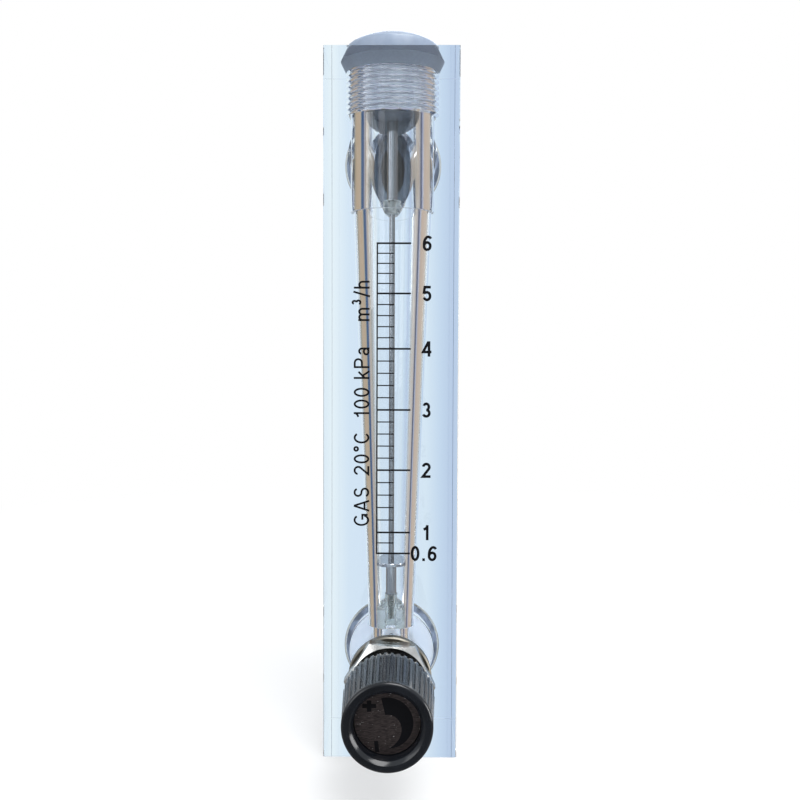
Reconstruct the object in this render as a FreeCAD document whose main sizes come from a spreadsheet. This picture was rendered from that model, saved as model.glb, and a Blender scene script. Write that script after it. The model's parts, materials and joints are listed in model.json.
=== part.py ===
"""Panel-mounted variable-area flow meter (rotameter) for gas.

A clear acrylic block holds a tapered vertical bore. A steel float rides in it on a guide rod. Gas comes
in through the lower rear fitting, passes the needle valve, climbs the taper and leaves by the upper rear
fitting. The origin is the centre of the block's foot, +Z is up, and the valve knob points along -Y.
All lengths are millimetres.
"""
import FreeCAD, Part
import os
import re
import Sketcher

SIZES = {
    # acrylic block and its bores
    "block_width": 38.0,
    "block_depth": 40.0,
    "block_edge_chamfer": 0.4,
    "inlet_level": 23.5,
    "port_spacing": 150.0,
    "top_margin": 26.5,
    "tube_above_inlet": 10.5,
    "chamber_below_outlet": 16.9,
    "tube_bottom_bore": 13.3,
    "tube_top_bore": 22.8,
    "chamber_bore": 24.4,
    "feed_bore": 11.0,
    "valve_hole": 18.0,
    "valve_hole_depth": 11.5,
    "valve_mouth_flare": 1.1,
    "valve_seal_section": 1.9,
    "valve_chamber_bore": 14.0,
    "port_hole": 26.0,
    "port_depth": 8.0,
    "seat_web": 3.0,
    "seat_bore": 8.0,
    "seat_chamfer": 0.8,
    # clearances shared by the pieces
    "thread_clearance": 0.05,
    "press_clearance": 0.03,
    "seal_clearance": 0.05,
    "seal_bite": 0.3,
    # top plug, its seal and the parts hung from it
    "plug_thread": 27.0,
    "plug_thread_length": 12.7,
    "plug_head_size": 29.2,
    "plug_head_height": 8.0,
    "plug_crown_height": 2.6,
    "plug_crown_inset": 4.6,
    "plug_slot_width": 3.0,
    "plug_slot_depth": 2.6,
    "plug_mouth_flare": 1.6,
    "plug_seal_section": 3.2,
    "sleeve_size": 4.7,
    "sleeve_insert": 5.0,
    "rod_size": 2.5,
    "rod_insert": 2.5,
    "stop_size": 8.0,
    "stop_height": 4.0,
    "stop_round": 1.8,
    "stop_drop": 0.1,
    # lower guide and float
    "guide_clearance": 0.15,
    "guide_height": 5.4,
    "guide_floor": 1.4,
    "guide_boss_size": 5.6,
    "guide_boss_height": 3.4,
    "guide_slots": 4.0,
    "guide_slot_width": 3.2,
    "guide_core": 6.6,
    "float_rest_gap": 0.05,
    "float_bore_clearance": 0.1,
    "float_size": 13.4,
    "float_stem_size": 4.8,
    "float_length": 10.4,
    "float_rim": 1.0,
    "float_head_depth": 2.0,
    "float_edge": 0.2,
    # needle valve
    "washer_lip": 2.6,
    "washer_thickness": 2.2,
    "washer_clearance": 0.2,
    "washer_edge": 0.4,
    "hex_flats": 22.0,
    "hex_thickness": 5.5,
    "valve_body_end_gap": 0.5,
    "valve_body_collar": 13.0,
    "valve_body_collar_height": 1.5,
    "gland_bore": 10.2,
    "gland_step_depth": 3.0,
    "stem_thread": 8.0,
    "stem_clearance": 0.1,
    "piston_length": 3.6,
    "piston_land": 1.0,
    "stem_seal_section": 1.2,
    "stem_seal_squeeze_gap": 0.05,
    "opening_travel": 3.0,
    "closing_travel": 2.0,
    "closed_gap": 0.15,
    "needle_base": 10.4,
    "needle_tip": 3.0,
    "needle_length": 6.0,
    "needle_collar": 1.2,
    "needle_shank": 6.0,
    "spigot_size": 6.0,
    "spigot_flat": 2.4,
    "spigot_start": 15.0,
    # knob, its screw and its disc
    "knob_gap": 7.1,
    "knob_length": 18.7,
    "knob_back_size": 24.4,
    "knob_taper": 1.8,
    "knob_edge": 0.5,
    "knob_rim_length": 1.3,
    "knob_rim_round": 0.9,
    "knob_rim_width": 2.1,
    "knob_bevel_width": 0.8,
    "knob_bevel_depth": 0.8,
    "knob_recess_depth": 4.3,
    "knob_floor": 2.0,
    "knob_skirt": 2.7,
    "knob_hub": 11.0,
    "knob_hub_inset": 3.3,
    "knob_ribs": 42.0,
    "rib_groove": 1.0,
    "rib_groove_rise": 0.05,
    "screw_size": 3.0,
    "screw_head_size": 5.6,
    "screw_head_height": 1.9,
    "screw_grip": 6.0,
    "screw_web": 1.5,
    "screw_pocket": 7.2,
    "screw_slot_width": 0.9,
    "screw_slot_depth": 0.9,
    "disc_clearance": 0.2,
    "disc_thickness": 0.5,
    # rear fittings, their seals and the panel nuts
    "fitting_bore": 15.0,
    "fitting_insert": 6.0,
    "fitting_flange": 30.0,
    "fitting_flange_thickness": 3.0,
    "fitting_flange_bevel": 0.3,
    "fitting_hex_flats": 26.0,
    "fitting_hex_thickness": 5.0,
    "panel_thread": 22.0,
    "panel_thread_length": 12.0,
    "pipe_thread": 20.9,
    "pipe_thread_length": 14.0,
    "fitting_end_chamfer": 1.0,
    "port_mouth_flare": 1.3,
    "port_seal_section": 2.6,
    "nut_flats": 27.0,
    "nut_thickness": 6.0,
    "nut_clearance": 0.1,
    "nut_panel_gap": 4.0,
}

PLACES = {
    # block
    "front_face": "-block_depth / 2",
    "rear_face": "block_depth / 2",
    "outlet_level": "inlet_level + port_spacing",
    "block_height": "outlet_level + top_margin",
    "tube_bottom_level": "inlet_level + tube_above_inlet",
    "tube_top_level": "outlet_level - chamber_below_outlet",
    "plug_mouth_depth": "plug_seal_section + 2 * seal_clearance",
    "plug_seat_level": "block_height - plug_mouth_depth - plug_thread_length",
    "port_mouth_depth": "port_seal_section + 2 * seal_clearance",
    "seat_depth": "block_depth - port_depth - seat_web",
    # pieces on the rod
    "plug_neck": "plug_thread - 2 * (plug_seal_section - seal_bite)",
    "stop_bottom": "tube_top_level - stop_drop",
    "stop_top": "stop_bottom + stop_height",
    "sleeve_top": "plug_seat_level + sleeve_insert",
    "rod_top": "sleeve_top + rod_insert",
    "guide_hole_floor": "tube_bottom_level + guide_floor",
    "guide_top": "tube_bottom_level + guide_height",
    "boss_top": "guide_top + guide_boss_height",
    "float_bottom": "boss_top + float_rest_gap",
    "float_top": "float_bottom + float_length",
    "rod_hole": "rod_size / 2 + press_clearance",
    "float_hole": "rod_size / 2 + float_bore_clearance",
    # needle valve, measured outward from the block's front face
    "washer_bore": "valve_hole + 2 * washer_clearance",
    "washer_size": "washer_bore + 2 * washer_lip",
    "valve_mouth_depth": "valve_seal_section + 2 * seal_clearance",
    "valve_neck": "valve_hole - 2 * (valve_seal_section - seal_bite)",
    "hex_front": "washer_thickness + hex_thickness",
    "collar_front": "hex_front + valve_body_collar_height",
    "valve_body_end": "valve_body_end_gap - valve_hole_depth",
    "piston_front": "-gland_step_depth - opening_travel - closed_gap",
    "piston_back": "piston_front - piston_length",
    "groove_front": "piston_front - piston_land",
    "groove_back": "groove_front - stem_seal_section - 2 * stem_seal_squeeze_gap",
    "groove_radius": "gland_bore / 2 - stem_seal_section - 2 * stem_seal_squeeze_gap",
    "needle_slope": "(needle_base - needle_tip) / 2 / needle_length",
    "needle_reach": "(needle_base - seat_bore) / 2 / needle_slope",
    "needle_closed_base": "needle_reach + closed_gap - seat_depth - seat_chamfer",
    "needle_base_level": "needle_closed_base + closing_travel",
    # knob
    "knob_back": "hex_front + knob_gap",
    "knob_front": "knob_back + knob_length",
    "rim_start": "knob_front - knob_rim_length",
    "knob_front_size": "knob_back_size - knob_taper",
    "knob_mouth": "knob_front_size - 2 * knob_rim_width",
    "knob_recess": "knob_mouth - 2 * knob_bevel_width",
    "knob_cavity": "knob_front_size - 2 * knob_skirt",
    "recess_floor": "knob_front - knob_recess_depth",
    "cavity_top": "recess_floor - knob_floor",
    "rib_tilt": "atan(knob_taper / 2 / (rim_start - knob_back))",
    "hub_back": "knob_back + knob_hub_inset",
    "screw_seat": "recess_floor - screw_head_height - 2 * disc_clearance",
    "hub_hole_top": "screw_seat - screw_web",
    "spigot_end": "hub_hole_top - disc_clearance",
    # fittings, measured outward from the block's rear face
    "port_neck": "port_hole - 2 * (port_seal_section - seal_bite)",
    "fitting_hex_back": "fitting_flange_thickness + fitting_hex_thickness",
    "panel_thread_end": "fitting_hex_back + panel_thread_length",
    "fitting_end": "panel_thread_end + pipe_thread_length",
    "nut_front": "fitting_hex_back + nut_panel_gap",
}

doc = FreeCAD.newDocument("rotameter")
sheet = doc.addObject("Spreadsheet::Sheet", "sizes")
for row, (alias, value) in enumerate(SIZES.items(), start=1):
    sheet.set(f"A{row}", alias)
    sheet.set(f"B{row}", str(value))
    sheet.setAlias(f"B{row}", alias)
doc.recompute()

bodies = []


def expand(text):
    """Writes the derived places out in full and points every size at its cell in the sheet."""

    def one_word(match):
        word = match.group(0)
        if word in PLACES:
            return f"({expand(PLACES[word])})"
        return f"sizes.{word}" if word in SIZES else word

    return re.sub(r"[a-z_]+", one_word, text)


def number(text):
    """Present value of an expression."""
    return float(sheet.evalExpression(expand(text)))


def new_body(label):
    body = doc.addObject("PartDesign::Body", label)
    body.Label = label
    bodies.append(body)
    return body


def place(body, turn, along, level):
    """Turns a body modelled on its own Z axis about X, then moves it to that Y and that level."""
    body.Placement = FreeCAD.Placement(
        FreeCAD.Vector(0, number(along), number(level)), FreeCAD.Rotation(FreeCAD.Vector(1, 0, 0), turn)
    )
    body.setExpression("Placement.Base.y", expand(along))
    body.setExpression("Placement.Base.z", expand(level))


def place_on_valve_axis(body):
    place(body, 90, "front_face", "inlet_level")


def new_sketch(body, name, plane, raised="0"):
    """A sketch on one of the body's origin planes, raised along the sketch's own Y when asked."""
    sketch = body.newObject("Sketcher::SketchObject", name)
    origin_plane = next(f for f in body.Origin.OriginFeatures if f.Role == plane)
    sketch.AttachmentSupport = [(origin_plane, "")]
    sketch.MapMode = "FlatFace"
    if raised != "0":
        sketch.setExpression("AttachmentOffset.Base.y", expand(raised))
    return sketch


def pin_coordinate(sketch, kind, geometry, vertex, text):
    """Fixes one coordinate of a vertex to an expression, measured from the sketch origin."""
    if text == "0":
        axis = -2 if kind == "DistanceX" else -1
        sketch.addConstraint(Sketcher.Constraint("PointOnObject", geometry, vertex, axis))
        return
    constraint = Sketcher.Constraint(kind, -1, 1, geometry, vertex, number(text))
    index = sketch.addConstraint(constraint)
    sketch.setExpression(f"Constraints[{index}]", expand(text))


def outline(body, name, plane, points, raised="0"):
    """Closed polygon whose corners are pairs of expressions."""
    sketch = new_sketch(body, name, plane, raised)
    corners = [FreeCAD.Vector(number(x), number(y), 0) for x, y in points]
    count = len(points)
    for i in range(count):
        sketch.addGeometry(Part.LineSegment(corners[i], corners[(i + 1) % count]), False)
    for i in range(count):
        sketch.addConstraint(Sketcher.Constraint("Coincident", i, 2, (i + 1) % count, 1))
    for i, (x, y) in enumerate(points):
        pin_coordinate(sketch, "DistanceX", i, 1, x)
        pin_coordinate(sketch, "DistanceY", i, 1, y)
    return sketch


def circle(body, name, plane, radius, x="0", y="0"):
    sketch = new_sketch(body, name, plane)
    centre = FreeCAD.Vector(number(x), number(y), 0)
    sketch.addGeometry(Part.Circle(centre, FreeCAD.Vector(0, 0, 1), number(radius)), False)
    pin_coordinate(sketch, "DistanceX", 0, 3, x)
    pin_coordinate(sketch, "DistanceY", 0, 3, y)
    index = sketch.addConstraint(Sketcher.Constraint("Radius", 0, number(radius)))
    sketch.setExpression(f"Constraints[{index}]", expand(radius))
    return sketch


def hexagon(body, name, flats):
    """Hexagon on the XY plane with a flat towards +Y."""
    half_flat = f"{flats} / 2 / sqrt(3)"
    corner = f"{flats} / sqrt(3)"
    half = f"{flats} / 2"
    points = [
        (corner, "0"),
        (half_flat, half),
        (f"-{half_flat}", half),
        (f"-{corner}", "0"),
        (f"-{half_flat}", f"-{half}"),
        (half_flat, f"-{half}"),
    ]
    return outline(body, name, "XY_Plane", points)


def feature(body, kind, name, sketch, **expressions):
    """A sketch-based feature with its properties bound to expressions."""
    made = body.newObject(f"PartDesign::{kind}", name)
    made.Profile = sketch
    sketch.Visibility = False
    for key, text in expressions.items():
        made.setExpression(key, expand(text))
    return made


def turned(body, kind, name, sketch, axis="V_Axis"):
    """Full-turn Revolution or Groove about an axis of its sketch."""
    made = body.newObject(f"PartDesign::{kind}", name)
    made.Profile = sketch
    made.ReferenceAxis = (sketch, [axis])
    made.Angle = 360
    sketch.Visibility = False
    return made


def lathe(body, name, points):
    """Solid of revolution about the body's Z axis from (radius, height) pairs."""
    return turned(body, "Revolution", name, outline(body, f"{name}_profile", "XZ_Plane", points))


def polar(body, name, original, sketch, count):
    pattern = body.newObject("PartDesign::PolarPattern", name)
    pattern.Originals = [original]
    pattern.Axis = (sketch, ["N_Axis"])
    pattern.Angle = 360
    pattern.setExpression("Occurrences", expand(count))
    body.Tip = pattern
    return pattern


def raised_pad(body, name, sketch, start, length):
    """Pad of a sketch on the XY plane, from a start height upward."""
    sketch.setExpression("AttachmentOffset.Base.z", expand(start))
    return feature(body, "Pad", name, sketch, Length=length)


def raised_pocket(body, name, sketch, start, length):
    """Pocket of a sketch on the XY plane, cutting upward from a start height."""
    sketch.setExpression("AttachmentOffset.Base.z", expand(start))
    cut = feature(body, "Pocket", name, sketch, Length=length)
    cut.Reversed = True
    return cut


def edges_at(body, level, radius):
    """Names of the circular edges of a body's tip at a height and a radius on its own axis."""
    doc.recompute()
    found = []
    for i, edge in enumerate(body.Tip.Shape.Edges, start=1):
        curve = edge.Curve
        if not isinstance(curve, Part.Circle):
            continue
        if abs(curve.Center.z - number(level)) < 1e-4 and abs(curve.Radius - number(radius)) < 1e-4:
            found.append(f"Edge{i}")
    return found


def rounded(body, name, level, radius, size):
    """Fillet on the circular edge at a height and a radius."""
    tip = body.Tip
    names = edges_at(body, level, radius)
    fillet = body.newObject("PartDesign::Fillet", name)
    fillet.Base = (tip, names)
    fillet.setExpression("Radius", expand(size))
    return fillet


def hex_corner_cut(body, name, flats, level, outward):
    """Thirty-degree chamfer turned on a hexagon's corners at one of its end faces."""
    sign = "-" if outward else "+"
    outside = f"{flats} / sqrt(3) + 1"
    corner_drop = f"({outside} - {flats} / 2 * 0.97) * tan(30)"
    points = [
        (f"{flats} / 2 * 0.97", level),
        (outside, level),
        (outside, f"{level} {sign} {corner_drop}"),
    ]
    return turned(body, "Groove", name, outline(body, f"{name}_profile", "XZ_Plane", points))


def seal_ring(label, neck, section, depth):
    """O-ring round a neck, lying just under the face that its piece seats on."""
    body = new_body(label)
    radius = f"{section} / 2"
    sketch = circle(
        body, f"{label}_section", "XZ_Plane", radius, f"{neck} / 2 + seal_clearance + {radius}", depth
    )
    turned(body, "Revolution", f"{label}_ring", sketch)
    return body


def meter_block():
    """Clear block: tapered metering bore, settling chamber, plug thread, valve bore and two rear ports."""
    body = new_body("meter_block")
    half = "block_width / 2"
    foot = outline(
        body,
        "block_foot",
        "XY_Plane",
        [
            (f"-{half}", "front_face"),
            (half, "front_face"),
            (half, "rear_face"),
            (f"-{half}", "rear_face"),
        ],
    )
    pad = feature(body, "Pad", "block_blank", foot, Length="block_height")
    doc.recompute()
    edges = [f"Edge{i}" for i in range(1, len(pad.Shape.Edges) + 1)]
    chamfer = body.newObject("PartDesign::Chamfer", "block_edges")
    chamfer.Base = (pad, edges)
    chamfer.setExpression("Size", expand("block_edge_chamfer"))

    metering = [
        ("0", "inlet_level"),
        ("feed_bore / 2", "inlet_level"),
        ("feed_bore / 2", "tube_bottom_level"),
        ("tube_bottom_bore / 2", "tube_bottom_level"),
        ("tube_top_bore / 2", "tube_top_level"),
        ("chamber_bore / 2", "tube_top_level"),
        ("chamber_bore / 2", "plug_seat_level"),
        ("plug_thread / 2", "plug_seat_level"),
        ("plug_thread / 2", "block_height - plug_mouth_depth"),
        ("plug_thread / 2 + plug_mouth_flare", "block_height"),
        ("plug_thread / 2 + plug_mouth_flare", "block_height + 1"),
        ("0", "block_height + 1"),
    ]
    turned(body, "Groove", "metering_bore", outline(body, "metering_profile", "XZ_Plane", metering))

    seat_face = "front_face + seat_depth"
    port_floor = "rear_face - port_depth"
    valve = [
        ("front_face - 1", "0"),
        ("front_face - 1", "valve_hole / 2 + valve_mouth_flare"),
        ("front_face", "valve_hole / 2 + valve_mouth_flare"),
        ("front_face + valve_mouth_depth", "valve_hole / 2"),
        ("front_face + valve_hole_depth", "valve_hole / 2"),
        ("front_face + valve_hole_depth", "valve_chamber_bore / 2"),
        (seat_face, "valve_chamber_bore / 2"),
        (seat_face, "seat_bore / 2 + seat_chamfer"),
        (f"{seat_face} + seat_chamfer", "seat_bore / 2"),
        (port_floor, "seat_bore / 2"),
        (port_floor, "port_hole / 2"),
        ("rear_face - port_mouth_depth", "port_hole / 2"),
        ("rear_face", "port_hole / 2 + port_mouth_flare"),
        ("rear_face + 1", "port_hole / 2 + port_mouth_flare"),
        ("rear_face + 1", "0"),
    ]
    profile = outline(body, "valve_bore_profile", "YZ_Plane", valve, raised="inlet_level")
    turned(body, "Groove", "valve_bore", profile, "H_Axis")

    outlet = [
        ("0", "0"),
        ("0", "port_hole / 2"),
        ("rear_face - port_mouth_depth", "port_hole / 2"),
        ("rear_face", "port_hole / 2 + port_mouth_flare"),
        ("rear_face + 1", "port_hole / 2 + port_mouth_flare"),
        ("rear_face + 1", "0"),
    ]
    profile = outline(body, "outlet_bore_profile", "YZ_Plane", outlet, raised="outlet_level")
    turned(body, "Groove", "outlet_bore", profile, "H_Axis")


def top_plug():
    """Screwed plug: a head, a neck for its seal, a threaded shank and a blind hole for the rod sleeve."""
    body = new_body("top_plug")
    head_top = "block_height + plug_head_height"
    points = [
        ("0", head_top),
        ("plug_head_size / 2 - plug_crown_inset", head_top),
        ("plug_head_size / 2", f"{head_top} - plug_crown_height"),
        ("plug_head_size / 2", "block_height"),
        ("plug_neck / 2", "block_height"),
        ("plug_neck / 2", "block_height - plug_mouth_depth"),
        ("plug_thread / 2 - thread_clearance", "block_height - plug_mouth_depth"),
        ("plug_thread / 2 - thread_clearance", "plug_seat_level"),
        ("sleeve_size / 2 + press_clearance", "plug_seat_level"),
        ("sleeve_size / 2 + press_clearance", "sleeve_top"),
        ("rod_hole", "sleeve_top"),
        ("rod_hole", "rod_top"),
        ("0", "rod_top"),
    ]
    lathe(body, "plug_turning", points)
    slot = outline(
        body,
        "plug_slot_section",
        "YZ_Plane",
        [
            ("-plug_slot_width / 2", f"{head_top} - plug_slot_depth"),
            ("plug_slot_width / 2", f"{head_top} - plug_slot_depth"),
            ("plug_slot_width / 2", f"{head_top} + 1"),
            ("-plug_slot_width / 2", f"{head_top} + 1"),
        ],
    )
    cut = feature(body, "Pocket", "plug_slot", slot, Length="plug_head_size + 2")
    cut.Midplane = True


def rod_sleeve():
    """Tube that hangs from the plug round the top of the rod."""
    body = new_body("rod_sleeve")
    points = [
        ("rod_hole", "stop_top"),
        ("sleeve_size / 2", "stop_top"),
        ("sleeve_size / 2", "sleeve_top"),
        ("rod_hole", "sleeve_top"),
    ]
    lathe(body, "sleeve_turning", points)


def upper_float_stop():
    """Rounded bush under the sleeve that the float meets at the top of its travel."""
    body = new_body("upper_float_stop")
    points = [
        ("rod_hole", "stop_bottom"),
        ("stop_size / 2", "stop_bottom"),
        ("stop_size / 2", "stop_top"),
        ("rod_hole", "stop_top"),
    ]
    lathe(body, "stop_turning", points)
    rounded(body, "stop_nose", "stop_bottom", "stop_size / 2", "stop_round")


def guide_rod():
    body = new_body("guide_rod")
    points = [
        ("0", "guide_hole_floor"),
        ("rod_size / 2", "guide_hole_floor"),
        ("rod_size / 2", "rod_top"),
        ("0", "rod_top"),
    ]
    lathe(body, "rod_turning", points)


def lower_guide():
    """Slotted seat at the foot of the taper: it holds the rod and its boss carries the resting float."""
    body = new_body("lower_guide")
    disc = "tube_bottom_bore / 2 - guide_clearance"
    points = [
        ("0", "tube_bottom_level"),
        (disc, "tube_bottom_level"),
        (disc, "guide_top"),
        ("guide_boss_size / 2", "guide_top"),
        ("guide_boss_size / 2", "boss_top"),
        ("rod_hole", "boss_top"),
        ("rod_hole", "guide_hole_floor"),
        ("0", "guide_hole_floor"),
    ]
    lathe(body, "guide_turning", points)
    slot = outline(
        body,
        "guide_slot_section",
        "XY_Plane",
        [
            ("guide_core / 2", "-guide_slot_width / 2"),
            ("tube_bottom_bore / 2 + 1", "-guide_slot_width / 2"),
            ("tube_bottom_bore / 2 + 1", "guide_slot_width / 2"),
            ("guide_core / 2", "guide_slot_width / 2"),
        ],
    )
    cut = raised_pocket(body, "guide_slot", slot, "tube_bottom_level - 1", "guide_height + 2")
    polar(body, "guide_slot_ring", cut, slot, "guide_slots")


def float_body():
    """Mushroom float: a sharp-rimmed disc over a bored stem."""
    body = new_body("float")
    points = [
        ("float_hole", "float_bottom"),
        ("float_stem_size / 2 - float_edge", "float_bottom"),
        ("float_stem_size / 2", "float_bottom + float_edge"),
        ("float_stem_size / 2", "float_top - float_head_depth"),
        ("float_size / 2 - float_edge", "float_top - float_rim"),
        ("float_size / 2", "float_top - float_rim + float_edge"),
        ("float_size / 2", "float_top - float_edge"),
        ("float_size / 2 - float_edge", "float_top"),
        ("float_hole", "float_top"),
    ]
    lathe(body, "float_turning", points)


def bezel_washer():
    """Plated ring between the block and the valve body's hexagon."""
    body = new_body("bezel_washer")
    points = [
        ("washer_bore / 2", "0"),
        ("washer_size / 2", "0"),
        ("washer_size / 2", "washer_thickness - washer_edge"),
        ("washer_size / 2 - washer_edge", "washer_thickness"),
        ("washer_bore / 2", "washer_thickness"),
    ]
    lathe(body, "washer_turning", points)
    place_on_valve_axis(body)


def valve_body():
    """Screwed bonnet: hexagon, threaded shank with a neck for its seal, gland bore and stem thread."""
    body = new_body("valve_body")
    shank = "valve_hole / 2 - thread_clearance"
    stem_hole = "stem_thread / 2 + thread_clearance"
    points = [
        ("gland_bore / 2", "valve_body_end"),
        (shank, "valve_body_end"),
        (shank, "-valve_mouth_depth"),
        ("valve_neck / 2", "-valve_mouth_depth"),
        ("valve_neck / 2", "0"),
        (shank, "0"),
        (shank, "hex_front"),
        ("valve_body_collar / 2", "hex_front"),
        ("valve_body_collar / 2", "collar_front"),
        (stem_hole, "collar_front"),
        (stem_hole, "-gland_step_depth"),
        ("gland_bore / 2", "-gland_step_depth"),
    ]
    lathe(body, "valve_body_turning", points)
    flats = hexagon(body, "valve_hex_section", "hex_flats")
    raised_pad(body, "valve_hex", flats, "washer_thickness", "hex_thickness")
    doc.recompute()
    hex_corner_cut(body, "valve_hex_front_chamfer", "hex_flats", "hex_front", True)
    hex_corner_cut(body, "valve_hex_back_chamfer", "hex_flats", "washer_thickness", False)
    core = circle(body, "stem_hole_section", "XY_Plane", stem_hole)
    raised_pocket(body, "stem_hole", core, "washer_thickness", "hex_thickness")
    place_on_valve_axis(body)


def valve_stem():
    """Spindle: needle cone, grooved piston, threaded part and a flatted spigot for the knob."""
    body = new_body("valve_stem")
    piston = "gland_bore / 2 - stem_clearance"
    points = [
        ("0", "needle_base_level - needle_length"),
        ("needle_tip / 2", "needle_base_level - needle_length"),
        ("needle_base / 2", "needle_base_level"),
        ("needle_base / 2", "needle_base_level + needle_collar"),
        ("needle_shank / 2", "needle_base_level + needle_collar"),
        ("needle_shank / 2", "piston_back"),
        (piston, "piston_back"),
        (piston, "groove_back"),
        ("groove_radius", "groove_back"),
        ("groove_radius", "groove_front"),
        (piston, "groove_front"),
        (piston, "piston_front"),
        ("stem_thread / 2", "piston_front"),
        ("stem_thread / 2", "spigot_start"),
        ("spigot_size / 2", "spigot_start"),
        ("spigot_size / 2", "spigot_end"),
        ("screw_size / 2 + press_clearance", "spigot_end"),
        ("screw_size / 2 + press_clearance", "spigot_end - screw_grip - 1"),
        ("0", "spigot_end - screw_grip - 1"),
    ]
    lathe(body, "stem_turning", points)
    flat = outline(
        body,
        "spigot_flat_section",
        "XY_Plane",
        [
            ("-spigot_size", "spigot_flat"),
            ("spigot_size", "spigot_flat"),
            ("spigot_size", "spigot_size"),
            ("-spigot_size", "spigot_size"),
        ],
    )
    raised_pocket(body, "spigot_flat_cut", flat, "hub_back", "spigot_end - hub_back + 1")
    place_on_valve_axis(body)


def knob():
    """Moulded knob: ribbed skirt, plain rim, bevelled recess for the disc and a hub with a flatted hole."""
    body = new_body("knob")
    points = [
        ("knob_cavity / 2", "knob_back"),
        ("knob_back_size / 2 - knob_edge", "knob_back"),
        ("knob_back_size / 2", "knob_back + knob_edge"),
        ("knob_front_size / 2", "rim_start"),
        ("knob_front_size / 2", "knob_front"),
        ("knob_mouth / 2", "knob_front"),
        ("knob_recess / 2", "knob_front - knob_bevel_depth"),
        ("knob_recess / 2", "recess_floor"),
        ("screw_pocket / 2", "recess_floor"),
        ("screw_pocket / 2", "screw_seat"),
        ("screw_size / 2 + disc_clearance", "screw_seat"),
        ("screw_size / 2 + disc_clearance", "hub_back"),
        ("knob_hub / 2", "hub_back"),
        ("knob_hub / 2", "cavity_top"),
        ("knob_cavity / 2", "cavity_top"),
    ]
    lathe(body, "knob_turning", points)
    rounded(body, "knob_rim_edge", "knob_front", "knob_front_size / 2", "knob_rim_round")
    hole = flatted_hole(body)
    raised_pocket(body, "hub_hole", hole, "hub_back - 1", "hub_hole_top - hub_back + 1")
    rib_grooves(body, hole)
    place_on_valve_axis(body)


def rib_grooves(body, upright):
    """Round grooves that follow the skirt's taper, all round the axis of an upright sketch."""
    section = circle(body, "rib_groove_section", "XY_Plane", "rib_groove / 2")
    tilt = FreeCAD.Rotation(FreeCAD.Vector(1, 0, 0), number("rib_tilt"))
    section.AttachmentOffset = FreeCAD.Placement(FreeCAD.Vector(0, 0, 0), tilt)
    section.setExpression("AttachmentOffset.Base.y", expand("knob_back_size / 2 + rib_groove_rise"))
    section.setExpression("AttachmentOffset.Base.z", expand("knob_back"))
    section.setExpression("AttachmentOffset.Rotation.Angle", expand("rib_tilt"))
    cut = feature(body, "Pocket", "rib_groove_cut", section, Length="rim_start - knob_back")
    cut.Reversed = True
    polar(body, "rib_groove_ring", cut, upright, "knob_ribs")


def flatted_hole(body):
    """Section of the hub's hole: a circle cut off by the same flat as the spigot's."""
    radius = "spigot_size / 2 + press_clearance"
    flat = "spigot_flat + press_clearance"
    sketch = new_sketch(body, "hub_hole_section", "XY_Plane")
    reach = number(f"sqrt(({radius}) ^ 2 - ({flat}) ^ 2)")
    height = number(flat)
    left = FreeCAD.Vector(-reach, height, 0)
    right = FreeCAD.Vector(reach, height, 0)
    low = FreeCAD.Vector(0, -number(radius), 0)
    sketch.addGeometry(Part.Arc(left, low, right), False)
    sketch.addGeometry(Part.LineSegment(right, left), False)
    sketch.addConstraint(Sketcher.Constraint("Coincident", 0, 3, -1, 1))
    sketch.addConstraint(Sketcher.Constraint("Coincident", 0, 2, 1, 1))
    sketch.addConstraint(Sketcher.Constraint("Coincident", 0, 1, 1, 2))
    sketch.addConstraint(Sketcher.Constraint("Horizontal", 1))
    index = sketch.addConstraint(Sketcher.Constraint("Radius", 0, number(radius)))
    sketch.setExpression(f"Constraints[{index}]", expand(radius))
    pin_coordinate(sketch, "DistanceY", 1, 1, flat)
    return sketch


def knob_screw():
    """Slotted cheese-head screw that holds the knob on the spigot."""
    body = new_body("knob_screw")
    head_top = "screw_seat + screw_head_height"
    points = [
        ("0", "spigot_end - screw_grip"),
        ("screw_size / 2", "spigot_end - screw_grip"),
        ("screw_size / 2", "screw_seat"),
        ("screw_head_size / 2", "screw_seat"),
        ("screw_head_size / 2", head_top),
        ("0", head_top),
    ]
    lathe(body, "screw_turning", points)
    slot = outline(
        body,
        "screw_slot_section",
        "YZ_Plane",
        [
            ("-screw_slot_width / 2", f"{head_top} - screw_slot_depth"),
            ("screw_slot_width / 2", f"{head_top} - screw_slot_depth"),
            ("screw_slot_width / 2", f"{head_top} + 1"),
            ("-screw_slot_width / 2", f"{head_top} + 1"),
        ],
    )
    cut = feature(body, "Pocket", "screw_slot", slot, Length="screw_head_size + 2")
    cut.Midplane = True
    place_on_valve_axis(body)


def knob_disc():
    """Brushed disc that lies on the floor of the knob's recess."""
    body = new_body("knob_disc")
    radius = "knob_recess / 2 - disc_clearance"
    points = [
        ("0", "recess_floor"),
        (radius, "recess_floor"),
        (radius, "recess_floor + disc_thickness"),
        ("0", "recess_floor + disc_thickness"),
    ]
    lathe(body, "disc_turning", points)
    place_on_valve_axis(body)


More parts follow.
